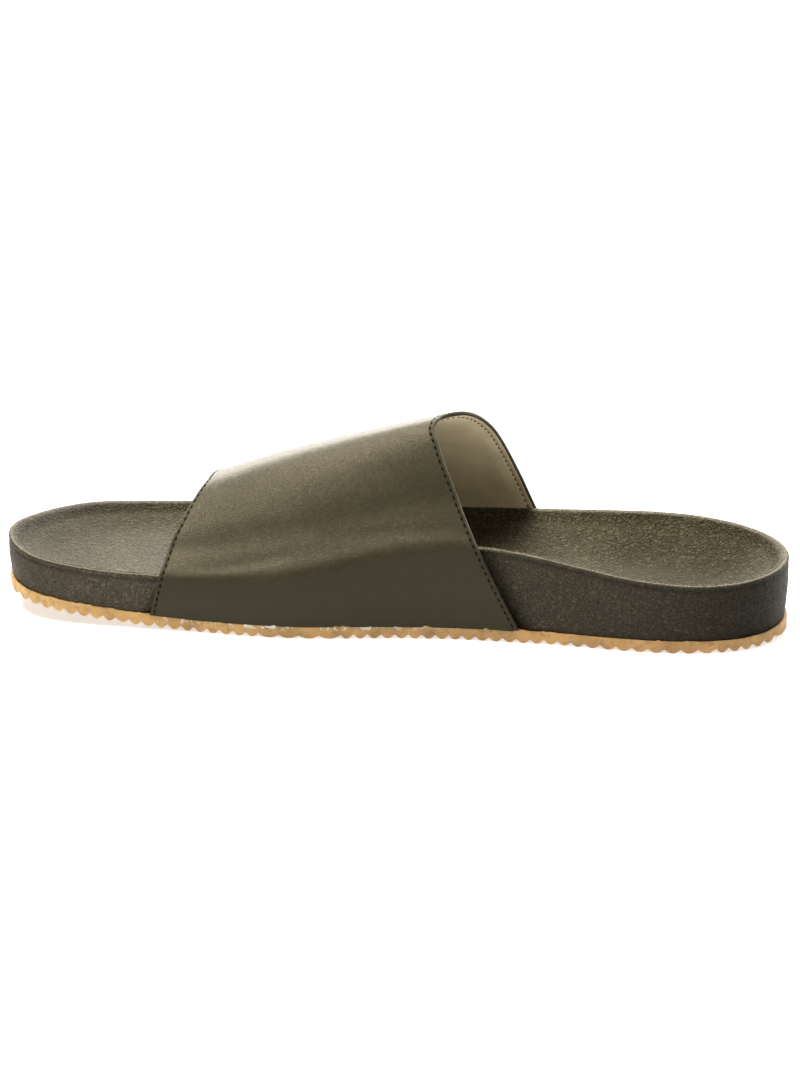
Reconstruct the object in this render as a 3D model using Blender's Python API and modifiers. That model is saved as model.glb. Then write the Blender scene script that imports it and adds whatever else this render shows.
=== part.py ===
"""Slide sandal for the right foot: ribbed gum outsole, contoured midsole, insole and one wide strap.

Metres, +Z up. The toe points to -X and the medial (big toe) side faces -Y.
Shapes are first worked out in the shoe's own measures: "forward" runs from the back of the heel
to the toe tip, and "side" runs across it, medial negative. place() turns both into world X and Y.
"""

import math

import bmesh
import bpy
import numpy as np

# Driving sizes
LENGTH = 0.288
BALL_WIDTH = 0.095
CLEARANCE = 0.0003
WELD = 1e-6

OUTSOLE_THICKNESS = 0.0044
OUTSOLE_LEDGE = -0.0004
OUTSOLE_UNDER_STRAP = 0.0007
OUTSOLE_BLEND = 0.010
TOE_SPRING = 0.008
SPRING_START = 0.195

INSOLE_THICKNESS = 0.0032
RIM_WIDTH = 0.0026
INSOLE_EDGE = 0.0050

STRAP_THICKNESS = 0.0026
CREST_SIDE = -0.009
MARGIN_WIDTH = 0.011
MARGIN_NOTCH = 0.005
MARGIN_HEADROOM = STRAP_THICKNESS + 2 * CLEARANCE
MARGIN_POCKET = 0.013
POCKET_SLACK = 0.0006
POCKET_RAMP = 0.0010

AROUND = 112
FINE_AROUND = 1440
KEEP_OFF_ENDS = 0.4
# The line along the middle of the sole that every ring closes on
SPINE_REAR = 0.040
SPINE_FRONT = 0.238
SPINE_STATIONS = 22

# The sole's plan and its rim, once round from the heel's back by the medial side.
# Columns: place, forward as a share of LENGTH, side as a share of BALL_WIDTH,
# height of the rim over the unsprung floor, reach of the cup's slope inward from the rim.
OUTLINE_COLUMNS = ("place", "forward", "side", "rim", "reach")
OUTLINE = (
    ("heel back", 0.000, 0.004, 0.0268, 0.024),
    ("heel, medial corner", 0.036, -0.268, 0.0260, 0.023),
    ("heel, medial", 0.118, -0.373, 0.0256, 0.023),
    ("arch, rear", 0.265, -0.361, 0.0308, 0.030),
    ("arch", 0.393, -0.348, 0.0352, 0.034),
    ("arch, front", 0.498, -0.380, 0.0318, 0.034),
    ("ball, medial", 0.622, -0.436, 0.0240, 0.022),
    ("big toe, rear", 0.754, -0.424, 0.0202, 0.018),
    ("big toe, side", 0.884, -0.419, 0.0187, 0.017),
    ("big toe, corner", 0.966, -0.352, 0.0187, 0.018),
    ("toe tip", 1.000, -0.140, 0.0192, 0.019),
    ("second toe", 0.983, 0.084, 0.0188, 0.019),
    ("fourth toe", 0.935, 0.322, 0.0184, 0.018),
    ("little toe", 0.855, 0.475, 0.0182, 0.017),
    ("ball, lateral", 0.700, 0.564, 0.0200, 0.018),
    ("waist, front", 0.526, 0.500, 0.0232, 0.022),
    ("waist", 0.386, 0.427, 0.0264, 0.026),
    ("heel, lateral front", 0.250, 0.397, 0.0285, 0.026),
    ("heel, lateral", 0.120, 0.374, 0.0287, 0.025),
    ("heel, lateral corner", 0.036, 0.250, 0.0274, 0.024),
)

# The foot's bed along the middle of the sole. Columns: forward share, height over the unsprung floor.
BED_FLOOR = (
    (0.00, 0.0158),
    (0.14, 0.0155),
    (0.28, 0.0172),
    (0.42, 0.0195),
    (0.55, 0.0185),
    (0.68, 0.0150),
    (0.82, 0.0132),
    (1.00, 0.0130),
)

# Ribs of the tread, from the toe back. Columns: forward end of the zone, rib pitch, groove depth.
TREAD_ZONES = (
    (0.291, 0.0049, 0.0016),
    (0.188, 0.0072, 0.0010),
    (0.159, 0.0048, 0.0016),
    (0.111, 0.0053, 0.0013),
    (0.071, 0.0060, 0.0011),
    (0.036, 0.0066, 0.0011),
    (0.024, 0.0041, 0.0016),
)
TREAD_REAR_END = -0.006
RIB_FLAT = (0.36, 0.64)
RIB_ZIGZAG = 0.0020
RIB_ZIGZAG_WIDTH = 0.015
SLAB_HALF_WIDTH = 0.060
SLAB_TOP_STEP = 0.008
CUTTER_BOTTOM = -0.010
CUTTER_HEIGHT = 0.060

# The strap's top line. Columns: forward, height.
CREST_LINE = (
    (0.1220, 0.0768),
    (0.1400, 0.0722),
    (0.1650, 0.0656),
    (0.1900, 0.0573),
    (0.2060, 0.0511),
    (0.2145, 0.0478),
)

# The strap's two cut edges, across the foot from the medial side of the sole.
# Columns: place, share of the way across the section, forward of the front edge, of the rear edge.
STRAP_EDGES = (
    ("medial base", 0.00, 0.2295, 0.0945),
    ("medial rim", 0.16, 0.2257, 0.1088),
    ("medial side", 0.27, 0.2233, 0.1183),
    ("medial shoulder", 0.38, 0.2187, 0.1259),
    ("medial crown", 0.45, 0.2158, 0.1286),
    ("crest", 0.50, 0.2145, 0.1277),
    ("lateral crown", 0.56, 0.2136, 0.1203),
    ("lateral shoulder", 0.62, 0.2128, 0.1145),
    ("lateral slope", 0.66, 0.2122, 0.1118),
    ("lateral side", 0.73, 0.2118, 0.1071),
    ("lateral rim", 0.84, 0.2122, 0.0977),
    ("lateral base", 1.00, 0.2145, 0.0860),
)
STRAP_ALONG = 15
WALL_STEPS = 5
ARCH_STEPS = 16

# How far the section's curves stay straight, as shares of their own rise and run.
MEDIAL_RISE_HOLD = 0.36
MEDIAL_RUN_HOLD = 0.42
MEDIAL_LEAN = 0.70
LATERAL_RUN_HOLD = 0.42
LATERAL_RISE_HOLD = 0.38
LATERAL_LEAN = 0.42
BEND_OVER_RIM = 0.0015

# Side wall of the midsole. Columns: share of the wall's height, inset where it shows, inset at the strap.
SIDE_WALL = ((0.00, 0.0010, 0.0024), (0.35, 0.0004, 0.0011), (0.72, 0.0000, 0.0001))
# Rounded rim. Columns: inset from the outline, drop below the rim's height.
RIM_ROUND = ((0.0004, 0.0011), (0.0013, 0.0003), (RIM_WIDTH, 0.0000))

# Rings of the bed, as shares of the way from its edge to the spine
BED_SHARES = (0.0, 0.10, 0.22, 0.38, 0.62, 1.0)

OLIVE_LEATHER = ("olive grained leather", (0.075, 0.068, 0.045), 0.55)
OLIVE_INSOLE = ("olive insole leather", (0.140, 0.125, 0.075), 0.62)
OLIVE_STRAP = ("olive smooth leather", (0.100, 0.090, 0.062), 0.42)
SMOOTH_BELOW = math.radians(35)
GUM_RUBBER = ("gum rubber", (0.560, 0.310, 0.130), 0.60)


def periodic_spline(points, count):
    """Smooth closed curve through the rows of points, sampled evenly in its own parameter."""
    steps = np.linalg.norm(np.roll(points, -1, axis=0)[:, :2] - points[:, :2], axis=1)
    size = len(points)
    matrix = np.zeros((size, size))
    right = np.zeros_like(points)
    for i in range(size):
        before, after = steps[i - 1], steps[i]
        matrix[i, i - 1] += before
        matrix[i, i] += 2 * (before + after)
        matrix[i, (i + 1) % size] += after
        slope_after = (points[(i + 1) % size] - points[i]) / after
        slope_before = (points[i] - points[i - 1]) / before
        right[i] = 6 * (slope_after - slope_before)
    bend = np.linalg.solve(matrix, right)
    starts = np.concatenate([[0.0], np.cumsum(steps)])
    rows = []
    for position in np.linspace(0.0, starts[-1], count, endpoint=False):
        i = min(int(np.searchsorted(starts, position, side="right")) - 1, size - 1)
        j, span = (i + 1) % size, steps[i]
        a = (starts[i + 1] - position) / span
        b = 1 - a
        rows.append(
            a * points[i]
            + b * points[j]
            + ((a**3 - a) * bend[i] + (b**3 - b) * bend[j]) * span**2 / 6
        )
    return np.array(rows)


def smooth_interp(value, knots, levels):
    """Smooth curve through (knots, levels), level beyond its ends (monotone cubic)."""
    knots, levels = np.asarray(knots, float), np.asarray(levels, float)
    slopes = np.diff(levels) / np.diff(knots)
    tangents = np.zeros(len(knots))
    for i in range(1, len(knots) - 1):
        if slopes[i - 1] * slopes[i] > 0:
            tangents[i] = 2 / (1 / slopes[i - 1] + 1 / slopes[i])
    tangents[0], tangents[-1] = slopes[0], slopes[-1]
    value = min(max(value, knots[0]), knots[-1])
    i = min(max(int(np.searchsorted(knots, value)) - 1, 0), len(knots) - 2)
    span = knots[i + 1] - knots[i]
    t = (value - knots[i]) / span
    return (
        (2 * t**3 - 3 * t**2 + 1) * levels[i]
        + (t**3 - 2 * t**2 + t) * span * tangents[i]
        + (3 * t**2 - 2 * t**3) * levels[i + 1]
        + (t**3 - t**2) * span * tangents[i + 1]
    )


def plan_rows():
    """The outline table in metres: forward, side, rim, reach."""
    return np.array(
        [(row[1] * LENGTH, row[2] * BALL_WIDTH, row[3], row[4]) for row in OUTLINE]
    )


DENSE = periodic_spline(plan_rows(), FINE_AROUND)
HEEL_AT, TOE_AT = int(DENSE[:, 0].argmin()), int(DENSE[:, 0].argmax())
DENSE = np.roll(DENSE, -HEEL_AT, axis=0)
TOE_AT = (TOE_AT - HEEL_AT) % len(DENSE)
MEDIAL = DENSE[: TOE_AT + 1]
LATERAL = np.vstack([DENSE[TOE_AT:], DENSE[:1]])[::-1]
CENTRE_FORWARD = (DENSE[:, 0].min() + DENSE[:, 0].max()) / 2
CENTRE_SIDE = (DENSE[:, 1].min() + DENSE[:, 1].max()) / 2


def edge(side, forward, column):
    """A column of the outline (1 side, 2 rim, 3 reach) at a station, on the medial or lateral edge."""
    half = MEDIAL if side == "medial" else LATERAL
    return float(np.interp(forward, half[:, 0], half[:, column]))


def middle(forward):
    return (edge("medial", forward, 1) + edge("lateral", forward, 1)) / 2


def toe_spring(forward):
    """How far the whole sole curls up off the floor at a station."""
    share = max(0.0, (forward - SPRING_START) / (LENGTH - SPRING_START))
    return TOE_SPRING * share**2


def bed_floor(forward):
    return smooth_interp(forward / LENGTH, *zip(*BED_FLOOR))


def place(forward, side, height):
    """World position of a point given in the shoe's own measures."""
    return (CENTRE_FORWARD - forward, side - CENTRE_SIDE, height)


def distances_round():
    """The dense outline closed on itself, and the distance round it to each of its points."""
    closed = np.vstack([DENSE, DENSE[:1]])
    steps = np.linalg.norm(np.diff(closed[:, :2], axis=0), axis=1)
    return closed, np.concatenate([[0.0], np.cumsum(steps)])


def outline_at(positions):
    """The outline's rows at distances round it."""
    closed, travelled = distances_round()
    return np.column_stack(
        [np.interp(positions, travelled, closed[:, k]) for k in range(closed.shape[1])]
    )


def even_positions(count):
    return np.linspace(0.0, distances_round()[1][-1], count, endpoint=False)


def pocket_positions():
    """Distances round the outline at which the pockets for the strap's margins end and ramp down."""
    _, travelled = distances_round()
    positions = []
    for side_name, row in (("medial", STRAP_EDGES[0]), ("lateral", STRAP_EDGES[-1])):
        part = slice(0, TOE_AT + 1) if side_name == "medial" else slice(TOE_AT, None)
        forwards = np.append(DENSE[:, 0], DENSE[0, 0])[part]
        marks = travelled[part]
        order = np.argsort(forwards)
        for reach in (POCKET_SLACK, POCKET_SLACK + POCKET_RAMP):
            for forward in (row[2] + reach, row[3] - reach):
                positions.append(float(np.interp(forward, forwards[order], marks[order])))
    return positions


def sole_positions(count):
    """Even steps round the outline, with the pockets' ends in place of the steps too near them."""
    ends = np.array(pocket_positions())
    near = KEEP_OFF_ENDS * distances_round()[1][-1] / count
    even = [p for p in even_positions(count) if np.abs(ends - p).min() > near]
    return np.sort(np.concatenate([even, ends]))


def inward_normals(rows):
    """Unit vectors in plan that point from each outline row into the sole."""
    along = np.roll(rows[:, :2], -1, axis=0) - np.roll(rows[:, :2], 1, axis=0)
    along /= np.linalg.norm(along, axis=1)[:, None]
    return np.column_stack([-along[:, 1], along[:, 0]]) * turn_sign(rows)


def turn_sign(rows):
    x, y = rows[:, 0], rows[:, 1]
    area = float(np.sum(x * np.roll(y, -1) - y * np.roll(x, -1)))
    return 1.0 if area > 0 else -1.0


class SoleRings:
    """Rings of points round the sole, from its outline in to the spine along its middle."""

    def __init__(self, count):
        self.rows = outline_at(sole_positions(count))
        self.normals = inward_normals(self.rows)
        self.indices = range(len(self.rows))
        stations = np.linspace(SPINE_REAR, SPINE_FRONT, SPINE_STATIONS)
        nearest = np.abs(self.rows[:, :1] - stations).argmin(axis=1)
        self.spine = np.array([(stations[k], middle(stations[k])) for k in nearest])

    def inset(self, index, distance):
        """Plan position at a distance inside the outline."""
        return self.rows[index, :2] + self.normals[index] * distance

    def toward_spine(self, index, start, share):
        """Plan position a share of the way from an inset ring to the spine, and its distance in."""
        first = self.inset(index, start)
        position = first + (self.spine[index] - first) * share
        return position, start + float(np.linalg.norm(position - first))

    def bed(self, index, position, distance):
        """Height of the finished bed: the rim, then the cup's slope down to the floor."""
        rim, reach = self.rows[index, 2], self.rows[index, 3]
        share = min(1.0, max(0.0, (distance - RIM_WIDTH) / reach))
        floor = bed_floor(position[0])
        return floor + (rim - floor) * (1 - share) ** 2 + toe_spring(position[0])


def loft_rings(name, rings):
    """Closed mesh from rings of equal count, in order; the first and the last lie folded on the spine."""
    mesh = bmesh.new()
    made = [[mesh.verts.new(p) for p in ring] for ring in rings]
    count = len(made[0])
    for lower, upper in zip(made, made[1:]):
        for i in range(count):
            j = (i + 1) % count
            mesh.faces.new((lower[i], lower[j], upper[j], upper[i]))
    bmesh.ops.remove_doubles(mesh, verts=mesh.verts, dist=WELD)
    return finish_mesh(mesh, name)


def finish_mesh(mesh, name):
    """Triangulates, points the faces outward and returns an object."""
    bmesh.ops.dissolve_degenerate(mesh, edges=mesh.edges, dist=WELD / 10)
    bmesh.ops.triangulate(mesh, faces=mesh.faces, quad_method="FIXED")
    bmesh.ops.recalc_face_normals(mesh, faces=mesh.faces)
    data = bpy.data.meshes.new(name)
    mesh.to_mesh(data)
    mesh.free()
    return bpy.data.objects.new(name, data)


def in_strap_pocket(forward, side_name):
    """True where the strap's turned-under margin runs beneath the midsole."""
    row = STRAP_EDGES[0] if side_name == "medial" else STRAP_EDGES[-1]
    slack = POCKET_SLACK + POCKET_RAMP / 2
    return row[3] - slack < forward < row[2] + slack


def make_midsole():
    """Contoured block with a rounded rim, a bed cut for the insole and pockets for the strap's margins."""
    sole = SoleRings(AROUND)
    indices = sole.indices
    base = [OUTSOLE_THICKNESS + CLEARANCE + toe_spring(f) for f in sole.rows[:, 0]]
    medial = sole.rows[:, 1] < np.array([middle(f) for f in sole.rows[:, 0]])
    pocket = [
        in_strap_pocket(sole.rows[i, 0], "medial" if medial[i] else "lateral")
        for i in indices
    ]

    def underside(position, raised=False):
        height = OUTSOLE_THICKNESS + CLEARANCE + toe_spring(position[0])
        return height + (MARGIN_HEADROOM if raised else 0.0)

    def flat_ring(distance, may_rise):
        ring = []
        for i in indices:
            position = sole.inset(i, distance)
            height = underside(position, may_rise and pocket[i])
            ring.append(place(*position, height))
        return ring

    def spine_ring(start, share, height_of):
        ring = []
        for i in indices:
            position, distance = sole.toward_spine(i, start, share)
            ring.append(place(*position, height_of(i, position, distance)))
        return ring

    def below_insole(i, position, distance):
        return sole.bed(i, position, distance) - INSOLE_THICKNESS - CLEARANCE

    rings = [
        spine_ring(MARGIN_POCKET, 1.0, lambda i, p, d: underside(p)),
        spine_ring(MARGIN_POCKET, 0.4, lambda i, p, d: underside(p)),
        flat_ring(MARGIN_POCKET + CLEARANCE, False),
        flat_ring(MARGIN_POCKET, True),
    ]
    for share, open_inset, strap_inset in SIDE_WALL:
        ring = []
        for i in indices:
            inset = strap_inset if pocket[i] else open_inset
            top = sole.rows[i, 2] + toe_spring(sole.rows[i, 0]) - RIM_ROUND[0][1]
            foot = base[i] + (MARGIN_HEADROOM if pocket[i] else 0.0)
            height = foot + (top - foot) * share
            ring.append(place(*sole.inset(i, inset), height))
        rings.append(ring)
    for inset, drop in RIM_ROUND:
        ring = []
        for i in indices:
            height = sole.rows[i, 2] + toe_spring(sole.rows[i, 0]) - drop
            ring.append(place(*sole.inset(i, inset), height))
        rings.append(ring)
    rings.append(spine_ring(INSOLE_EDGE, 0.0, sole.bed))
    rings += [spine_ring(INSOLE_EDGE, share, below_insole) for share in BED_SHARES]
    return loft_rings("midsole", rings)


def make_insole():
    """Thin dished sock that lies in the midsole's bed."""
    sole = SoleRings(AROUND)
    edge_in = INSOLE_EDGE + CLEARANCE

    def ring(share, drop):
        points = []
        for i in sole.indices:
            position, distance = sole.toward_spine(i, edge_in, share)
            points.append(place(*position, sole.bed(i, position, distance) - drop))
        return points

    upper = [ring(share, 0.0) for share in reversed(BED_SHARES)]
    under = [ring(share, INSOLE_THICKNESS) for share in BED_SHARES]
    return loft_rings("insole", upper + under)


def strap_edge(share, column):
    """Forward of the strap's front (2) or rear (3) edge at a share of the way across."""
    return smooth_interp(share, [r[1] for r in STRAP_EDGES], [r[column] for r in STRAP_EDGES])


def bezier(a, b, c, d, t):
    a, b, c, d = (np.array(p, float) for p in (a, b, c, d))
    s = 1 - t
    return s**3 * a + 3 * s * s * t * b + 3 * s * t * t * c + t**3 * d


def wall_inset(share):
    """Inset of the midsole's side wall under the strap, at a share of its height."""
    return float(np.interp(share, [r[0] for r in SIDE_WALL], [r[2] for r in SIDE_WALL]))


def crest_height(forward):
    """Height of the strap's top line, run on straight past its ends."""
    first, last = CREST_LINE[0], CREST_LINE[-1]
    if forward < first[0]:
        second = CREST_LINE[1]
        return first[1] + (second[1] - first[1]) / (second[0] - first[0]) * (forward - first[0])
    if forward > last[0]:
        before = CREST_LINE[-2]
        return last[1] + (last[1] - before[1]) / (last[0] - before[0]) * (forward - last[0])
    return smooth_interp(forward, *zip(*CREST_LINE))


def strap_wall(side_name, forward, share):
    """Side and height on the strap's outer face where it lies on the midsole; share 0 base, 1 rim."""
    out = -1 if side_name == "medial" else 1
    foot = OUTSOLE_THICKNESS + CLEARANCE + toe_spring(forward)
    top = edge(side_name, forward, 2) + toe_spring(forward) + BEND_OVER_RIM
    side = edge(side_name, forward, 1)
    side += out * (CLEARANCE + STRAP_THICKNESS - wall_inset(share))
    return np.array((side, foot + (top - foot) * share))


def strap_arch(side_name, forward, t):
    """Side and height on the strap's outer face over the foot; t 0 at the rim, 1 at the crest."""
    foot = strap_wall(side_name, forward, 1.0)
    crest = np.array((CREST_SIDE, crest_height(forward)))
    run, rise = crest - foot
    if side_name == "medial":
        lean = np.array((MEDIAL_LEAN, 1.0))
        low = foot + lean * rise * MEDIAL_RISE_HOLD
        high = crest - (run * MEDIAL_RUN_HOLD, 0.0)
    else:
        lean = np.array((-LATERAL_LEAN, 1.0))
        low = foot + lean * rise * LATERAL_RISE_HOLD
        high = crest - (run * LATERAL_RUN_HOLD, 0.0)
    return bezier(foot, low, high, crest, t)


def strap_columns():
    """Places across the strap: (share across, piece, side name, position within that piece)."""
    rim_share = STRAP_EDGES[1][1]
    columns = [(0.0, "margin", "medial", 1.0), (0.0, "margin", "medial", 0.5)]
    for k in range(WALL_STEPS):
        share = k / WALL_STEPS
        columns.append((rim_share * share, "wall", "medial", share))
    for k in range(ARCH_STEPS):
        t = k / ARCH_STEPS
        columns.append((rim_share + (0.5 - rim_share) * t, "arch", "medial", t))
    for side_share, piece, _, position in reversed(columns[2:]):
        columns.append((1 - side_share, piece, "lateral", position))
    columns.insert(2 + WALL_STEPS + ARCH_STEPS, (0.5, "arch", "medial", 1.0))
    columns += [(1.0, "margin", "lateral", 0.5), (1.0, "margin", "lateral", 1.0)]
    return columns


def strap_point(column, along):
    """Outer face of the strap at a column, along 0 at the front edge and 1 at the rear edge."""
    share, piece, side_name, position = column
    front, rear = strap_edge(share, 2), strap_edge(share, 3)
    if piece == "margin":
        front -= MARGIN_NOTCH * position
        rear += MARGIN_NOTCH * position
    forward = front + (rear - front) * along
    if piece == "arch":
        side, height = strap_arch(side_name, forward, position)
    elif piece == "wall":
        side, height = strap_wall(side_name, forward, position)
    else:
        side, height = strap_wall(side_name, forward, 0.0)
        side += (1 if side_name == "medial" else -1) * MARGIN_WIDTH * position
    return place(forward, side, height)


def make_upper():
    """One wide strap: an open sheet over the foot, thickened inward, its margins turned under."""
    columns = strap_columns()
    mesh = bmesh.new()
    grid = [
        [mesh.verts.new(strap_point(c, k / (STRAP_ALONG - 1))) for c in columns]
        for k in range(STRAP_ALONG)
    ]
    for row, following in zip(grid, grid[1:]):
        for i in range(len(columns) - 1):
            mesh.faces.new((row[i], following[i], following[i + 1], row[i + 1]))
    data = bpy.data.meshes.new("upper")
    mesh.to_mesh(data)
    mesh.free()
    strap = bpy.data.objects.new("upper", data)
    shell = strap.modifiers.new("wall", "SOLIDIFY")
    shell.thickness = STRAP_THICKNESS
    shell.offset = -1.0
    shell.use_even_offset = True
    return strap


def outsole_reach(row, medial):
    """How far the outsole stands out from the midsole's outline, wider where the strap is lasted under."""
    ends = STRAP_EDGES[0] if medial else STRAP_EDGES[-1]
    inside = min(row[0] - ends[3], ends[2] - row[0]) / OUTSOLE_BLEND + 1.0
    share = min(1.0, max(0.0, inside))
    share = share * share * (3 - 2 * share)
    return OUTSOLE_LEDGE + (OUTSOLE_UNDER_STRAP - OUTSOLE_LEDGE) * share


def rib_stations():
    """Stations of the tread from the toe back: (forward, height over the floor)."""
    ends = [zone[0] for zone in TREAD_ZONES[1:]] + [TREAD_REAR_END]
    stations = []
    for (start, pitch, depth), end in zip(TREAD_ZONES, ends):
        ribs = max(1, round((start - end) / pitch))
        step = (start - end) / ribs
        for k in range(ribs):
            forward = start - k * step
            stations.append((forward, depth))
            stations += [(forward - step * flat, 0.0) for flat in RIB_FLAT]
    stations.append((TREAD_REAR_END, TREAD_ZONES[-1][2]))
    return stations


def make_ribbed_slab():
    """Sheet of gum with zigzag ribs underneath, already curled up at the toe, larger than the sole."""
    half_waves = round(2 * SLAB_HALF_WIDTH / RIB_ZIGZAG_WIDTH)
    sides = np.linspace(-SLAB_HALF_WIDTH, SLAB_HALF_WIDTH, half_waves + 1)
    stations = rib_stations()
    mesh = bmesh.new()
    under = []
    for k, (forward, height) in enumerate(stations):
        swing = 0.0 if k in (0, len(stations) - 1) else RIB_ZIGZAG / 2
        row = []
        for n, side in enumerate(sides):
            at = forward + (swing if n % 2 else -swing)
            row.append(mesh.verts.new(place(at, side, height + toe_spring(at))))
        under.append(row)
    first, last = stations[0][0], stations[-1][0]
    top_count = math.ceil((first - last) / SLAB_TOP_STEP) + 1
    over = []
    for forward in np.linspace(first, last, top_count):
        height = OUTSOLE_THICKNESS + toe_spring(forward)
        over.append([mesh.verts.new(place(forward, side, height)) for side in sides[[0, -1]]])
    for row, following in zip(under, under[1:]):
        for i in range(len(sides) - 1):
            mesh.faces.new((row[i], row[i + 1], following[i + 1], following[i]))
    for row, following in zip(over, over[1:]):
        mesh.faces.new((row[0], following[0], following[1], row[1]))
    for column, top in ((0, 0), (-1, 1)):
        mesh.faces.new([r[column] for r in under] + [r[top] for r in reversed(over)])
    for row, top in ((under[0], over[0]), (under[-1], over[-1])):
        mesh.faces.new(row + [top[1], top[0]])
    return finish_mesh(mesh, "outsole")


def make_outsole_cutter():
    """Upright prism with the outsole's plan."""
    rows = outline_at(even_positions(AROUND))
    normals = inward_normals(rows)
    mesh = bmesh.new()
    bottom = []
    for row, normal in zip(rows, normals):
        medial = row[1] < middle(row[0])
        position = row[:2] - normal * outsole_reach(row, medial)
        bottom.append(mesh.verts.new(place(*position, CUTTER_BOTTOM)))
    face = mesh.faces.new(bottom)
    raised = bmesh.ops.extrude_face_region(mesh, geom=[face])["geom"]
    lifted = [v for v in raised if isinstance(v, bmesh.types.BMVert)]
    bmesh.ops.translate(mesh, verts=lifted, vec=(0, 0, CUTTER_HEIGHT))
    return finish_mesh(mesh, "outsole_plan")


def make_outsole(cutters):
    """The ribbed sheet trimmed to the sole's plan."""
    slab = make_ribbed_slab()
    cutter = make_outsole_cutter()
    cutters.objects.link(cutter)
    cutter.hide_render = True
    cutter.display_type = "WIRE"
    trim = slab.modifiers.new("trim", "BOOLEAN")
    trim.operation = "INTERSECT"
    trim.solver = "EXACT"
    trim.object = cutter
    return slab


def material(spec):
    name, colour, roughness = spec
    made = bpy.data.materials.new(name)
    made.use_nodes = True
    shader = made.node_tree.nodes["Principled BSDF"]
    shader.inputs["Base Color"].default_value = (*colour, 1.0)
    shader.inputs["Roughness"].default_value = roughness
    shader.inputs["Metallic"].default_value = 0.0
    return made


def collection(name):
    made = bpy.data.collections.new(name)
    bpy.context.scene.collection.children.link(made)
    return made


def main():
    for existing in list(bpy.data.objects):
        bpy.data.objects.remove(existing)
    parts, cutters = collection("slide_sandal"), collection("cutters")
    pieces = (
        (make_outsole(cutters), GUM_RUBBER),
        (make_midsole(), OLIVE_LEATHER),
        (make_insole(), OLIVE_INSOLE),
        (make_upper(), OLIVE_STRAP),
    )
    for piece, finish in pieces:
        piece.data.materials.append(material(finish))
        parts.objects.link(piece)
        if piece.name != "outsole":
            piece.data.shade_smooth()
            piece.data.set_sharp_from_angle(angle=SMOOTH_BELOW)


main()
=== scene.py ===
"""Looks of a right-foot slide sandal: wrapped footbed, lined strap, stitching and rippled gum sole.

Metres, +Z up, toe towards -X and the medial side towards -Y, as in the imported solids. Shapes are
first worked out in the shoe's own measures, forward from the heel's back and side across the sole.
"""

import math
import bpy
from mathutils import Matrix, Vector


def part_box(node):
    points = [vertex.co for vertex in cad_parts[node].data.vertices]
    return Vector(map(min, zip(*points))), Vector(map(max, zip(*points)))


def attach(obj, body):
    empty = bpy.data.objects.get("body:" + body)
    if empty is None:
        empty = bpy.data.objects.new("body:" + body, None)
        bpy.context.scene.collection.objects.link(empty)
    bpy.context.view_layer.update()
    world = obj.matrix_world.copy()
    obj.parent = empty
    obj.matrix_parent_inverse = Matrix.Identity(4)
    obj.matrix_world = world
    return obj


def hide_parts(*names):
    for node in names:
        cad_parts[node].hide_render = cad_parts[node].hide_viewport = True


bl_info = {
    "name": "Slide Sandal",
    "version": (1, 0, 0),
    "blender": (4, 5, 0),
    "location": "View3D > Sidebar > Sandal",
    "description": "Dresses the solids of a slide sandal in leather, lining, thread and gum rubber",
    "category": "Object",
}

import bmesh
import bpy
import numpy as np
from bpy.props import FloatProperty, FloatVectorProperty, PointerProperty
from mathutils import Matrix, Vector

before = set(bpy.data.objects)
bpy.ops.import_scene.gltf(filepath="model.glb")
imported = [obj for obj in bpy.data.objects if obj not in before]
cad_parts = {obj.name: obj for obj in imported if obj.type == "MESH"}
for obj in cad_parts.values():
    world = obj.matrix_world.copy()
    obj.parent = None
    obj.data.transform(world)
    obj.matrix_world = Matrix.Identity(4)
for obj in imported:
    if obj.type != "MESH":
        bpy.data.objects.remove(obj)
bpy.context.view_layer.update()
SOLE_LOW, SOLE_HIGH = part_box("midsole")

MM = 0.001
BODY = "root"

# Sizes that come from the solids, and where the toe begins to rise
CLEARANCE = 0.3 * MM
LENGTH = SOLE_HIGH.x - SOLE_LOW.x
BALL_WIDTH = SOLE_HIGH.y - SOLE_LOW.y
OUTSOLE_THICKNESS = SOLE_LOW.z - CLEARANCE
TOE_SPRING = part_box("outsole")[1].z - OUTSOLE_THICKNESS
SPRING_START = 195 * MM

# The sole's plan and its rim, once round from the heel's back by the medial side.
# Columns: place, forward as a share of LENGTH, side as a share of BALL_WIDTH,
# height of the rim over the unsprung floor, reach of the cup's slope inward from the rim.
OUTLINE = (
    ("heel back", 0.000, 0.004, 0.0268, 0.024),
    ("heel, medial corner", 0.036, -0.268, 0.0260, 0.023),
    ("heel, medial", 0.118, -0.373, 0.0256, 0.023),
    ("arch, rear", 0.265, -0.361, 0.0308, 0.030),
    ("arch", 0.393, -0.348, 0.0352, 0.034),
    ("arch, front", 0.498, -0.380, 0.0318, 0.034),
    ("ball, medial", 0.622, -0.436, 0.0240, 0.022),
    ("big toe, rear", 0.754, -0.424, 0.0202, 0.018),
    ("big toe, side", 0.884, -0.419, 0.0187, 0.017),
    ("big toe, corner", 0.966, -0.352, 0.0187, 0.018),
    ("toe tip", 1.000, -0.140, 0.0192, 0.019),
    ("second toe", 0.983, 0.084, 0.0188, 0.019),
    ("fourth toe", 0.935, 0.322, 0.0184, 0.018),
    ("little toe", 0.855, 0.475, 0.0182, 0.017),
    ("ball, lateral", 0.700, 0.564, 0.0200, 0.018),
    ("waist, front", 0.526, 0.500, 0.0232, 0.022),
    ("waist", 0.386, 0.427, 0.0264, 0.026),
    ("heel, lateral front", 0.250, 0.397, 0.0285, 0.026),
    ("heel, lateral", 0.120, 0.374, 0.0287, 0.025),
    ("heel, lateral corner", 0.036, 0.250, 0.0274, 0.024),
)
FINE_AROUND = 2880

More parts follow.
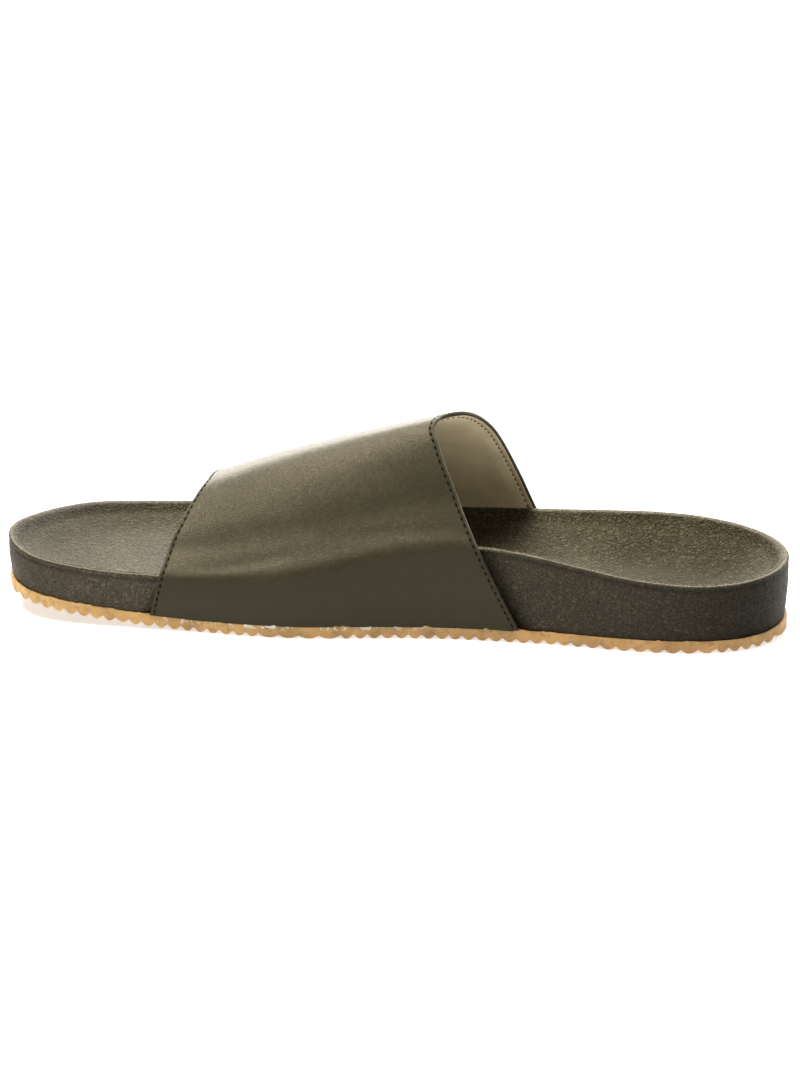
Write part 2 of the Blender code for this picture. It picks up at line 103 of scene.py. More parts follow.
# The foot's bed along the middle. Columns: forward share, height over the unsprung floor.
BED_FLOOR = (
    (0.00, 0.0158),
    (0.14, 0.0155),
    (0.28, 0.0172),
    (0.42, 0.0195),
    (0.55, 0.0185),
    (0.68, 0.0150),
    (0.82, 0.0132),
    (1.00, 0.0130),
)

# Side wall. Columns: share of the wall's height, inset where it shows, inset at the strap.
SIDE_WALL = (
    (0.00, 0.0010, 0.0024),
    (0.35, 0.0004, 0.0011),
    (0.72, 0.0000, 0.0001),
    (1.00, 0.0000, 0.0001),
)
# Rolled rim over the side wall. Columns, in millimetres: inset, drop below the rim's height.
RIM_ROLL = (
    (0.02, 3.2),
    (0.05, 2.6),
    (0.16, 2.1),
    (0.24, 1.8),
    (0.20, 1.55),
    (0.05, 1.30),
    (-0.03, 1.00),
    (-0.03, 0.72),
    (0.04, 0.42),
    (0.20, 0.18),
    (0.42, 0.05),
    (0.70, 0.01),
    (1.05, 0.05),
    (1.50, 0.16),
    (2.00, 0.30),
)
RIM_WIDTH = 2.0 * MM
# Reach of the rim crest's lighter band: partly rubbed wear, partly painted highlight
RIM_WEAR_AND_HIGHLIGHT_REACH = 0.95 * MM
# Painted shade in a band near the rim's crest and below it: where it centres, its half width, how far below
# the crest it begins
RIM_SHADE_AT = 2.3 * MM
RIM_SHADE_HALF = 1.2 * MM
RIM_SHADE_BELOW = 0.4 * MM
CREST_INSET = 1.0 * MM
NEAREST_BATCH = 4000
LIP_WIDTH = 3.2 * MM
INNER_GROOVE = 1.00 * MM
INNER_GROOVE_AT = 6.0 * MM
INNER_GROOVE_HALF = 2.3 * MM
# Reach of the strap's painted shadow on the footbed's wall, by its rear edge
PAINTED_STRAP_SHADOW_WIDTH = 10 * MM
BED_START = 2.4 * MM
SPINE_REAR = 40 * MM
SPINE_FRONT = 238 * MM
SPINE_STATIONS = 190
COVER_AROUND = 840
WALL_RINGS = 16
BED_RINGS = 46
BED_CROWDING = 1.15
UNDER_RINGS = 5
SHADOW_RAMP = 3.0 * MM

# Small gathers of the wrap round toe and heel. Columns: forward share where they centre,
# side (-1 medial, 1 lateral), spread along the edge, spacing, height.
GATHERS = (
    (0.985, -1, 0.016, 0.0036, 0.00005),
    (0.940, -1, 0.012, 0.0047, 0.00004),
    (0.960, 1, 0.022, 0.0041, 0.00005),
    (0.020, -1, 0.016, 0.0052, 0.00003),
    (0.020, 1, 0.018, 0.0048, 0.00003),
)

# The strap's top line. Columns: forward, height.
CREST_LINE = (
    (0.1220, 0.0778),
    (0.1400, 0.0729),
    (0.1650, 0.0656),
    (0.1900, 0.0573),
    (0.2060, 0.0511),
    (0.2145, 0.0478),
)
# The strap's two cut edges, across the foot from the medial side of the sole.
# Columns: place, share of the way across the section, forward of the front edge, of the rear edge.
STRAP_EDGES = (
    ("medial base", 0.00, 0.2295, 0.0945),
    ("medial rim", 0.16, 0.2257, 0.1088),
    ("medial side", 0.27, 0.2233, 0.1183),
    ("medial shoulder", 0.38, 0.2187, 0.1259),
    ("medial crown", 0.45, 0.2158, 0.1286),
    ("crest", 0.50, 0.2145, 0.1277),
    ("lateral crown", 0.56, 0.2150, 0.1196),
    ("lateral shoulder", 0.62, 0.2146, 0.1135),
    ("lateral slope", 0.66, 0.2138, 0.1100),
    ("lateral side", 0.73, 0.2118, 0.1053),
    ("lateral rim", 0.84, 0.2122, 0.0977),
    ("lateral base", 1.00, 0.2145, 0.0860),
)
STRAP_THICKNESS = 2.6 * MM
RIM_SHARE = STRAP_EDGES[1][1]
CREST_SIDE = -9 * MM
MEDIAL_RISE_HOLD = 0.36
MEDIAL_RUN_HOLD = 0.42
MEDIAL_LEAN = 0.70
LATERAL_RUN_HOLD = 0.42
LATERAL_RISE_HOLD = 0.38
LATERAL_LEAN = 0.42
BEND_OVER_RIM = -0.3 * MM
SOFTENING = 50
BEND_REACH = 0.06
SKIVE_WIDTH = 7 * MM
WALL_ROWS = 34
ARCH_ROWS = 96
FACE_COLUMNS = 110
EDGE_STEPS = 9

# Soft ridges and troughs of the strap, each along a line. Columns: place, share across and share
# along at its start, the same at its end, half width, height.
STRAP_FOLDS = (
    ("swell above the medial rim", 0.178, -0.10, 0.178, 1.10, 0.0055, 0.00050),
    ("slack under the medial shoulder", 0.265, -0.10, 0.265, 1.10, 0.0080, -0.00055),
    ("pull at the rear edge", 0.190, 1.00, 0.235, 0.55, 0.0035, -0.00012),
    ("pull at the front edge", 0.180, 0.00, 0.215, 0.40, 0.0035, -0.00014),
    ("lateral swell", 0.790, -0.10, 0.780, 1.10, 0.0080, 0.00040),
    ("lateral slack", 0.690, -0.10, 0.680, 1.10, 0.0080, -0.00030),
)
FOLD_END_FADE = 0.18

# The strap's rough size across and along, and how far each skin wavers
STRAP_SPAN = (0.23, 0.11)
STRAP_UNEVENNESS = 0.05 * MM
BED_UNEVENNESS = 0.12 * MM
GUM_UNEVENNESS = 0.10 * MM

# Troughs and bands along the strap's seams, outside and in the lining, and how the threads lie
SEAM_TROUGH = 0.38 * MM
SEAM_BAND = 3.6 * MM
SEAM_BAND_STEP = 0.2 * MM
FLANGE_SHARE = 0.6
LINING_SINK = 0.12 * MM
LINING_TROUGH = 0.45 * MM
LINING_TROUGH_DEPTH = 0.22 * MM
LINING_OVERLAP = 0.4 * MM
LINING_LIP = (0.45 * MM, 0.05 * MM)
LINING_BAND = 7.2 * MM
LINING_BAND_STEP = 0.22 * MM
THREAD_SINK = 0.20 * MM
LINING_THREAD_RISE = 0.02 * MM
SEAM_ENDS = (0.004, 0.996)
SEAM_REACH = 0.002
HAND_ERROR = 0.03

# Ribs of the tread, from the toe back. Columns: forward end of the zone, rib pitch, groove depth.
TREAD_ZONES = (
    (0.291, 0.0049, 0.0016),
    (0.188, 0.0072, 0.0010),
    (0.159, 0.0048, 0.0016),
    (0.111, 0.0053, 0.0015),
    (0.071, 0.0060, 0.0014),
    (0.036, 0.0066, 0.0014),
    (0.024, 0.0041, 0.0016),
)
TREAD_REAR_END = -0.006
RIB_ZIGZAG = 2.0 * MM
RIB_ZIGZAG_WIDTH = 15 * MM
RIB_FLAT = 0.24
RIB_ROUNDING = 1.15
OUTSOLE_LEDGE = -0.05 * MM
OUTSOLE_UNDER_STRAP = 0.7 * MM
OUTSOLE_BLEND = 10 * MM
RAGGED_EDGE = 1.0 * MM
OUTSOLE_ROWS = 860
OUTSOLE_ACROSS = 26
OUTSOLE_SIDE = 8
OUTSOLE_CORNER = 0.35 * MM

# Places where a colour sets in and where it is full: along X, across Y and up Z in the frame
# Painted shade on the bed at the toe's front
TOE_BED_PAINTED_SHADE = (-0.098, -0.127)
# Painted light on the lateral half of the heel's bed
HEEL_BED_PAINTED_LIGHT = (0.0, 0.05)
LATERAL_BED_PAINTED_LIGHT = (0.010, 0.034)
# Painted shade on the side wall: darker towards the heel, at the heel's end and at the toe's front
WALL_PAINTED_SHADE_TO_HEEL = (-0.14, 0.15)
HEEL_WALL_PAINTED_SHADE = (0.085, 0.145)
TOE_WALL_PAINTED_SHADE = (-0.112, -0.142)
TOE_TO_HEEL_GUM = (-0.13, 0.12)
STRAP_FROM_FRONT = (-0.088, -0.070)
STRAP_FROM_REAR = (0.030, -0.006)
GUM_TOP = (0.0026, 0.0042)

# Tints of the light and of the leather's gloss, the pale floor, the grain's warp and the gum's depth
WARM_GLOSS = (1.0, 0.88, 0.64, 1.0)
WARM_LIGHT = (1.0, 0.95, 0.87)
WHITE = (1.0, 1.0, 1.0, 1.0)
FLOOR_GLOW = 0.6
FLOOR_HALF = 6.0
CELL_WARP = 1.2
SUBSURFACE_REACH = (0.9, 0.45, 0.18)

# Soft lights. Columns: name, the setting with its power, position, width and height.
LIGHTS = (
    ("overhead_softbox", "overhead", (-0.50, -0.02, 1.45), (1.3, 0.6)),
    ("rear_softbox", "rear", (0.15, 1.50, 0.78), (2.6, 1.35)),
    ("heel_softbox", "fill", (1.15, -0.75, 0.55), (0.8, 0.8)),
)


def spline_round(points, count):
    """Smooth closed curve through the rows of points, sampled evenly in its own parameter."""
    size = len(points)
    ahead = np.roll(points, -1, axis=0) - points
    steps = np.linalg.norm(ahead[:, :2], axis=1)
    before, slopes = np.roll(steps, 1), ahead / steps[:, None]
    matrix, own = np.diag(2 * (before + steps)), np.arange(size)
    matrix[own, own - 1] += before
    matrix[own, (own + 1) % size] += steps
    bend = np.linalg.solve(matrix, 6 * (slopes - np.roll(slopes, 1, axis=0)))
    starts = np.concatenate([[0.0], np.cumsum(steps)])
    position = np.linspace(0.0, starts[-1], count, endpoint=False)
    i = np.minimum(np.searchsorted(starts, position, side="right") - 1, size - 1)
    j, span = (i + 1) % size, steps[i][:, None]
    a = (starts[i + 1] - position)[:, None] / span
    b = 1 - a
    curve = a * points[i] + b * points[j]
    return curve + ((a**3 - a) * bend[i] + (b**3 - b) * bend[j]) * span**2 / 6


def column(table, index):
    return np.array([row[index] for row in table], float)


def smooth_through(value, table, levels=1, knots=0):
    """Smooth curve through two columns of a table, level beyond its ends (monotone cubic)."""
    knots, levels = column(table, knots), column(table, levels)
    slopes = np.diff(levels) / np.diff(knots)
    tangents = np.zeros(len(knots))
    turning = slopes[:-1] * slopes[1:] > 0
    inner = np.where(turning, slopes[:-1], 1.0), np.where(turning, slopes[1:], 1.0)
    tangents[1:-1] = np.where(turning, 2 / (1 / inner[0] + 1 / inner[1]), 0.0)
    tangents[0], tangents[-1] = slopes[0], slopes[-1]
    value = np.clip(np.asarray(value, float), knots[0], knots[-1])
    i = np.clip(np.searchsorted(knots, value) - 1, 0, len(knots) - 2)
    span = knots[i + 1] - knots[i]
    t = (value - knots[i]) / span
    low = (2 * t**3 - 3 * t**2 + 1) * levels[i] + (t**3 - 2 * t**2 + t) * span * tangents[i]
    high = (3 * t**2 - 2 * t**3) * levels[i + 1] + (t**3 - t**2) * span * tangents[i + 1]
    return low + high


def ease(value):
    """0 to 1 with level ends."""
    t = np.clip(value, 0.0, 1.0)
    return t * t * (3 - 2 * t)


def halves(ring):
    """The medial and the lateral side of a closed ring, each from heel to toe."""
    ring = np.roll(ring, -int(ring[:, 0].argmin()), axis=0)
    tip = int(ring[:, 0].argmax())
    return ring[: tip + 1], np.vstack([ring[tip:], ring[:1]])[::-1]


OUTLINE_SCALE = (LENGTH, BALL_WIDTH, 1.0, 1.0)
DENSE = np.column_stack([column(OUTLINE, k + 1) * scale for k, scale in enumerate(OUTLINE_SCALE)])
DENSE = spline_round(DENSE, FINE_AROUND)
DENSE = np.roll(DENSE, -int(DENSE[:, 0].argmin()), axis=0)
MEDIAL, LATERAL = halves(DENSE)
CENTRE_FORWARD, CENTRE_SIDE = (DENSE.min(axis=0)[:2] + DENSE.max(axis=0)[:2]) / 2
TARGET = (CENTRE_FORWARD - 0.1401, -0.0265, 0.035)


def edge(medial, forward, index):
    """A column of the outline (1 side, 2 rim) at stations of the medial or the lateral edge."""
    near, far = (np.interp(forward, half[:, 0], half[:, index]) for half in (MEDIAL, LATERAL))
    return np.where(medial, near, far)


def middle(forward):
    return (edge(True, forward, 1) + edge(False, forward, 1)) / 2


def toe_spring(forward):
    share = np.clip((forward - SPRING_START) / (LENGTH - SPRING_START), 0.0, None)
    return TOE_SPRING * share**2


def place(forward, side, height):
    """World positions of points given in the shoe's own measures."""
    forward, side, height = np.broadcast_arrays(forward, side, height)
    return np.stack([CENTRE_FORWARD - forward, side - CENTRE_SIDE, height], axis=-1)


def unit(vectors):
    return vectors / np.maximum(np.linalg.norm(vectors, axis=-1, keepdims=True), 1e-12)


class Ripples:
    """Smooth repeatable unevenness: a sum of a few sine waves in all directions."""

    def __init__(self, seed, size, waves=9):
        dice = np.random.default_rng(seed)
        self.ways = unit(dice.normal(size=(waves, 3))) * (2 * math.pi / size)
        self.ways *= dice.uniform(0.6, 1.7, size=(waves, 1))
        self.phases = dice.uniform(0, 2 * math.pi, waves)

    def __call__(self, points):
        return np.sin(points @ self.ways.T + self.phases).mean(axis=-1)


def ring_faces(rings, count):
    """Corner indices of the quads between rings of points."""
    r, c = np.meshgrid(np.arange(rings - 1), np.arange(count), indexing="ij")
    following = (c + 1) % count
    corners = r * count + c, r * count + following, (r + 1) * count + following, (r + 1) * count + c
    return np.stack(corners, axis=-1).reshape(-1, 4)


def tube_faces(rings, count):
    """Faces of a tube of rings, with its two ends filled."""
    faces = [list(quad) for quad in ring_faces(rings, count)]
    return faces + [list(range(count)), list(range((rings - 1) * count, rings * count))]


def new_piece(name, points, faces, weld=None):
    """Mesh object from points and faces, welded where asked, with its faces turned outward."""
    data = bpy.data.meshes.new(name)
    data.from_pydata(points.reshape(-1, 3).tolist(), [], [list(map(int, f)) for f in faces])
    mesh = bmesh.new()
    mesh.from_mesh(data)
    if weld:
        bmesh.ops.remove_doubles(mesh, verts=mesh.verts, dist=weld)
        bmesh.ops.dissolve_degenerate(mesh, edges=mesh.edges, dist=weld / 4)
    bmesh.ops.recalc_face_normals(mesh, faces=mesh.faces)
    mesh.to_mesh(data)
    mesh.free()
    data.shade_smooth()
    piece = bpy.data.objects.new(name, data)
    bpy.context.scene.collection.objects.link(piece)
    return piece


def paint(piece, name, values):
    """A float attribute on a piece's points that its material reads."""
    layer = piece.data.attributes.new(name, "FLOAT", "POINT")
    layer.data.foreach_set("value", np.asarray(values, np.float32))


def points_of(piece):
    flat = np.empty(len(piece.data.vertices) * 3)
    piece.data.vertices.foreach_get("co", flat)
    return flat.reshape(-1, 3)


def finish_piece(piece, material, slot, *replaced):
    """Gives a piece its material, its body and the nodes that it stands for. The slot is not used."""
    piece.data.materials.append(material)
    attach(piece, BODY)
    if replaced:
        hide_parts(*replaced)


class Sole:
    """Points round the sole's outline, and rings from it in to the spine along its middle."""

    def __init__(self, count):
        closed = np.vstack([DENSE, DENSE[:1]])
        steps = np.linalg.norm(np.diff(closed[:, :2], axis=0), axis=1)
        travelled = np.concatenate([[0.0], np.cumsum(steps)])
        self.marks = np.linspace(0.0, travelled[-1], count, endpoint=False)
        self.rows = np.column_stack([np.interp(self.marks, travelled, closed[:, k]) for k in range(4)])
        along = unit(np.roll(self.rows[:, :2], -1, axis=0) - np.roll(self.rows[:, :2], 1, axis=0))
        self.normals = np.column_stack([-along[:, 1], along[:, 0]])
        toward = np.array([LENGTH / 2, 0.0]) - self.rows[:, :2]
        if np.sum(self.normals * toward) < 0:
            self.normals = -self.normals
        stations = np.linspace(SPINE_REAR, SPINE_FRONT, SPINE_STATIONS)
        nearest = np.abs(self.rows[:, :1] - stations).argmin(axis=1)
        self.spine = np.column_stack([stations[nearest], middle(stations[nearest])])
        self.medial = self.rows[:, 1] < middle(self.rows[:, 0])
        self.rim = self.rows[:, 2] + toe_spring(self.rows[:, 0])

    def inset(self, distance):
        return self.rows[:, :2] + self.normals * np.reshape(distance, (-1, 1))

    def toward_spine(self, start, share):
        """Plan positions a share of the way from an inset ring to the spine, and their distances in."""
        first = self.inset(start)
        position = first + (self.spine - first) * share
        return position, start + np.linalg.norm(position - first, axis=1)

    def bed(self, position, distance):
        """Height of the bed: the rim, then the cup's slope down to the floor."""
        share = np.clip((distance - LIP_WIDTH) / self.rows[:, 3], 0.0, 1.0)
        floor = smooth_through(position[:, 0] / LENGTH, BED_FLOOR)
        groove = INNER_GROOVE * np.exp(-(((distance - INNER_GROOVE_AT) / INNER_GROOVE_HALF) ** 2))
        slope = (self.rows[:, 2] - floor) * (1 - share) ** 2
        return floor + slope - groove + toe_spring(position[:, 0])


def strap_edge(share, index):
    """Forward of the strap's front (2) or rear (3) edge at a share of the way across."""
    return smooth_through(share, STRAP_EDGES, index, knots=1)


def wall_inset(share, index):
    """Inset of the side wall at a share of its height, where it shows (1) or at the strap (2)."""
    return smooth_through(share, SIDE_WALL, index)


def strap_share(medial, share):
    """Share of the way across the strap at a share of the side wall's height."""
    return np.where(medial, RIM_SHARE * share, 1 - RIM_SHARE * share)


def under_strap(forward, medial, share):
    """1 where the strap lies on the side wall, easing to 0 a little past its edges."""
    across = strap_share(medial, share)
    reach = np.minimum(strap_edge(across, 2) - forward, forward - strap_edge(across, 3))
    return ease(reach / SHADOW_RAMP + 1.0)


def gathers(sole, share):
    """Small upright puckers of the wrap, fading down the wall from the rim."""
    height = np.zeros(len(sole.rows))
    perimeter = sole.marks[-1] + sole.marks[1]
    for forward, way, spread, spacing, rise in GATHERS:
        side = sole.medial if way < 0 else ~sole.medial
        here = np.where(side, np.abs(sole.rows[:, 0] - forward * LENGTH), 1.0).argmin()
        away = (sole.marks - sole.marks[here] + perimeter / 2) % perimeter - perimeter / 2
        waves = np.sin(2 * math.pi * away / spacing + 1.3 * np.sin(away / spread * 2.1))
        height += rise * np.exp(-((away / spread) ** 2)) * waves
    return height * ease((share - 0.35) / 0.6)


def footbed_rings(sole):
    """Rings of the footbed's cover, from under the sole up the wall, over the rim and down to the spine."""
    base = OUTSOLE_THICKNESS + toe_spring(sole.rows[:, 0])
    rings = []
    for share in np.linspace(1.0, 0.0, UNDER_RINGS):
        position, _ = sole.toward_spine(2 * RIM_WIDTH, share)
        height = OUTSOLE_THICKNESS + toe_spring(position[:, 0])
        rings.append(place(position[:, 0], position[:, 1], height))
    wall_top = sole.rim - RIM_ROLL[0][1] * MM
    for share in np.linspace(0.0, 1.0, WALL_RINGS, endpoint=False):
        covered = under_strap(sole.rows[:, 0], sole.medial, share)
        inset = wall_inset(share, 1) + (wall_inset(share, 2) - wall_inset(share, 1)) * covered
        inset = inset - gathers(sole, share) * (1 - covered)
        position = sole.inset(inset)
        rings.append(place(position[:, 0], position[:, 1], base + (wall_top - base) * share))
    for inset, drop in RIM_ROLL:
        pucker = gathers(sole, 1.0) * ease((RIM_WIDTH - inset * MM) / RIM_WIDTH)
        position = sole.inset(inset * MM - pucker)
        rings.append(place(position[:, 0], position[:, 1], sole.rim - drop * MM))
    for share in np.linspace(0.0, 1.0, BED_RINGS) ** BED_CROWDING:
        position, distance = sole.toward_spine(BED_START, share)
        rings.append(place(position[:, 0], position[:, 1], sole.bed(position, distance)))
    return np.array(rings)


def make_footbed(look):
    """The wrapped footbed: one skin over its wall, rolled rim and bed."""
    sole = Sole(COVER_AROUND)
    rings = footbed_rings(sole)
    uneven = Ripples(3, 24 * MM)
    first_bed = UNDER_RINGS + WALL_RINGS
    rings[first_bed:, :, 2] += BED_UNEVENNESS * uneven(rings[first_bed:])
    faces = ring_faces(len(rings), COVER_AROUND)
    piece = new_piece("footbed_leather", rings, faces, weld=0.01 * MM)
    gap, below = rim_gap(points_of(piece))
    # Lighter rim crest: partly rubbed wear, partly painted highlight
    paint(piece, "rim", ease(1.0 - gap / RIM_WEAR_AND_HIGHLIGHT_REACH))
    # Painted shade in a band near the rim's crest and below it
    paint(piece, "fold", ease(1.0 - np.abs(gap - RIM_SHADE_AT) / RIM_SHADE_HALF) * (below > RIM_SHADE_BELOW))
    # Painted shadow of the strap on the wall by its rear edge
    paint(piece, "tuck", painted_strap_shadow_share(points_of(piece)))
    finish_piece(piece, look, "grained_leather", "midsole", "insole")


def rim_gap(points):
    """Distance from the crest of the rolled rim, and drop below it."""
    sole = Sole(COVER_AROUND)
    position = sole.inset(CREST_INSET)
    crest = place(position[:, 0], position[:, 1], sole.rim)
    gap, below = np.zeros(len(points)), np.zeros(len(points))
    for start in range(0, len(points), NEAREST_BATCH):
        here = slice(start, start + NEAREST_BATCH)
        part = points[here]
        gaps = np.linalg.norm(part[:, None, :] - crest[None, :, :], axis=-1)
        nearest = gaps.argmin(axis=1)
        gap[here] = gaps.min(axis=1)
        below[here] = crest[nearest, 2] - part[:, 2]
    return gap, below


def painted_strap_shadow_share(points):
    """Share of the strap's painted shadow on the footbed: 1 at the strap's rear edge, easing to 0 a little
    way off.
    """
    forward, side = CENTRE_FORWARD - points[:, 0], points[:, 1] + CENTRE_SIDE
    medial = side < middle(forward)
    base = OUTSOLE_THICKNESS + toe_spring(forward)
    rim = edge(medial, forward, 2) + toe_spring(forward)
    share = np.clip((points[:, 2] - base) / (rim - base), 0.0, 1.0)
    return ease(1.0 - np.abs(strap_edge(strap_share(medial, share), 3) - forward) / PAINTED_STRAP_SHADOW_WIDTH)


def crest_height(forward):
    """Height of the strap's top line, run on straight past its ends."""
    knots, levels = column(CREST_LINE, 0), column(CREST_LINE, 1)
    slopes = np.diff(levels) / np.diff(knots)
    inside = smooth_through(forward, CREST_LINE)
    inside = inside + np.minimum(forward - knots[0], 0.0) * slopes[0]
    return inside + np.maximum(forward - knots[-1], 0.0) * slopes[-1]


def strap_foot(medial, forward, share, thickness):
    """Side and height on the strap's outer face where it lies on the footbed's wall."""
    out = np.where(medial, -1.0, 1.0)
    base = OUTSOLE_THICKNESS + toe_spring(forward)
    top = edge(medial, forward, 2) + toe_spring(forward) + BEND_OVER_RIM
    side = edge(medial, forward, 1) + out * (CLEARANCE + thickness - wall_inset(share, 2))
    return side, base + (top - base) * share


def strap_surface(across, along, thickness):
    """World points of the strap's outer face at shares across (medial to lateral) and along."""
    forward = strap_edge(across, 2) + (strap_edge(across, 3) - strap_edge(across, 2)) * along
    medial = across <= 0.5
    inward = np.where(medial, across, 1 - across)
    foot_side, foot_height = strap_foot(medial, forward, np.clip(inward / RIM_SHARE, 0, 1), thickness)
    rim_side, rim_height = strap_foot(medial, forward, np.ones_like(forward), thickness)
    run, rise = CREST_SIDE - rim_side, crest_height(forward) - rim_height
    t = np.clip((inward - RIM_SHARE) / (0.5 - RIM_SHARE), 0.0, 1.0)
    hold = np.where(medial, MEDIAL_RISE_HOLD, LATERAL_RISE_HOLD)
    lean = np.where(medial, MEDIAL_LEAN, -LATERAL_LEAN) * rise * hold
    run_hold = np.where(medial, MEDIAL_RUN_HOLD, LATERAL_RUN_HOLD)
    weights = (1 - t) ** 3, 3 * (1 - t) ** 2 * t, 3 * (1 - t) * t**2, t**3
    sides = rim_side, rim_side + lean, CREST_SIDE - run * run_hold, CREST_SIDE
    heights = rim_height, rim_height + rise * hold, rim_height + rise, rim_height + rise
    arch_side, arch_height = (sum(w * p for w, p in zip(weights, pulls)) for pulls in (sides, heights))
    on_arch = inward > RIM_SHARE
    side = np.where(on_arch, arch_side, foot_side)
    return place(forward, side, np.where(on_arch, arch_height, foot_height))


def across_stations():
    """Even stations across the strap, closer where it lies on the footbed's walls."""
    wall = np.linspace(0.0, RIM_SHARE, WALL_ROWS, endpoint=False)
    arch = np.linspace(RIM_SHARE, 0.5, ARCH_ROWS, endpoint=False)
    half = np.concatenate([wall, arch])
    return np.concatenate([half, [0.5], 1 - half[::-1]])


class StrapForm:
    """The strap's outer face as a fine grid, its normals, and a way to read any point of it."""

    def __init__(self, thickness):
        self.across = across_stations()
        self.along = np.linspace(0.0, 1.0, FACE_COLUMNS)
        u, v = np.meshgrid(self.across, self.along, indexing="ij")
        self.face = strap_surface(u, v, thickness)
        self.width = np.linalg.norm(np.diff(self.face, axis=1), axis=-1).sum(axis=1)
        self.soften_bend()
        self.normals = self.find_normals()
        self.face = self.face + self.normals * self.folds(u, v)[..., None]
        self.normals = self.find_normals()

    def soften_bend(self):
        """Rounds the corner where each side leaves the rim."""
        inward = np.minimum(self.across, 1 - self.across)[1:-1]
        share = 0.5 * ease(1.6 - np.abs(inward - RIM_SHARE) / BEND_REACH)[:, None, None]
        for _ in range(SOFTENING):
            mean = (self.face[:-2] + self.face[2:]) / 2
            self.face[1:-1] += share * (mean - self.face[1:-1])

    def find_normals(self):
        across = np.gradient(self.face, axis=0)
        along = np.gradient(self.face, axis=1)
        return unit(np.cross(along, across))

    def folds(self, u, v):
        height = np.zeros(u.shape)
        for _, u0, v0, u1, v1, half_width, rise in STRAP_FOLDS:
            start = self.point(u0, v0)
            end = self.point(u1, v1)
            way = end - start
            t = ((self.face - start) @ way) / (way @ way)
            line_u, line_v = u0 + (u1 - u0) * np.clip(t, 0, 1), v0 + (v1 - v0) * np.clip(t, 0, 1)
            span = np.stack([(u - line_u) * STRAP_SPAN[0], (v - line_v) * STRAP_SPAN[1]], axis=-1)
            gap = np.linalg.norm(span, axis=-1) / half_width
            ends = ease((t + FOLD_END_FADE) / FOLD_END_FADE) * ease((1 + FOLD_END_FADE - t) / FOLD_END_FADE)
            height += rise * np.exp(-(gap**2)) * ends
        return height

    def read(self, grid, u, v):
        """Values of a grid at shares across and along, by straight interpolation."""
        i = np.interp(u, self.across, np.arange(len(self.across)))
        j = np.asarray(v, float) * (FACE_COLUMNS - 1)
        i0 = np.clip(i.astype(int), 0, len(self.across) - 2)
        j0 = np.clip(j.astype(int), 0, FACE_COLUMNS - 2)
        a, b = np.asarray(i - i0)[..., None], np.asarray(j - j0)[..., None]
        low = grid[i0, j0] * (1 - b) + grid[i0, j0 + 1] * b
        high = grid[i0 + 1, j0] * (1 - b) + grid[i0 + 1, j0 + 1] * b
        return low * (1 - a) + high * a

    def point(self, u, v):
        return self.read(self.face, u, v)

    def shell(self, profile):
        """Points of a skin on the strap, at every station across. Rows of the profile are (distance
        from an edge, place, depth below the face); place is 0 for the front edge, 1 for the rear edge,
        or else a share of the way along, and then there is no distance."""
        count = len(self.across)
        rows = np.empty((count, len(profile), 3))
        for k, (distance, place_along, depth) in enumerate(profile):
            share = np.full(count, place_along)
            if place_along in (0, 1):
                share = np.abs(place_along - distance / self.width)
            rows[:, k] = self.read(self.face, self.across, share)
            rows[:, k] -= self.read(self.normals, self.across, share) * depth
        return rows


def skived(distance, sizes):
    """Thickness of the strap near its folded edges, where the leather is pared down."""
    share = ease(distance / SKIVE_WIDTH)
    return sizes.edge_thickness + (sizes.strap_thickness - sizes.edge_thickness) * float(share)


def mirrored(rows):
    """Rows of a profile at one edge of the strap, turned into those at its other edge."""
    return [(distance, 1 - place_along, depth) for distance, place_along, depth in reversed(rows)]


def edge_roll(sizes):
    """Rounded rear edge of the strap, from its outer face round to its inner one."""
    half = sizes.edge_thickness / 2
    turns = np.linspace(0.5 * math.pi, -0.5 * math.pi, EDGE_STEPS)
    return [(half * (1 - math.cos(a)), 1, half * (1 - math.sin(a))) for a in turns]


def seam_dip(distance, sizes):
    """Depth to which the stitching pulls the leather down, by distance from the edge."""
    gap = (distance - sizes.seam_inset) / SEAM_TROUGH
    return sizes.seam_depth * math.exp(-gap * gap)


def strap_profile(sizes):
    """Closed section of the outer leather along the foot: face, turned edges and inner flanges."""
    turned, full = sizes.turned_edge, sizes.edge_thickness
    near = np.arange(full / 2 + SEAM_BAND_STEP, SEAM_BAND, SEAM_BAND_STEP)
    rear = [(d, 1, seam_dip(d, sizes)) for d in near[::-1]] + edge_roll(sizes)
    face = [(0.0, share, 0.0) for share in np.linspace(0.05, 0.95, FACE_COLUMNS - 8)]
    core, step = full * FLANGE_SHARE, 0.2 * MM
    back = [(turned, 1, full), (turned + step, 1, full - step), (turned + 2 * step, 1, core)]
    inner = [(0.0, share, core) for share in np.linspace(0.93, 0.07, 24)]
    return mirrored(rear) + face + rear + back + inner + mirrored(back)


def capped_tube(name, rings):
    """Closed mesh from rings of equal count, with its two ends filled."""
    return new_piece(name, rings, tube_faces(*rings.shape[:2]))


def make_strap(form, sizes, look):
    """Outer leather of the strap, folded round both cut edges."""
    rows = form.shell(strap_profile(sizes))
    uneven = Ripples(11, 15 * MM)
    rows += STRAP_UNEVENNESS * uneven(rows)[..., None]
    piece = capped_tube("strap_leather", rows)
    finish_piece(piece, look, "strap_leather", "upper")


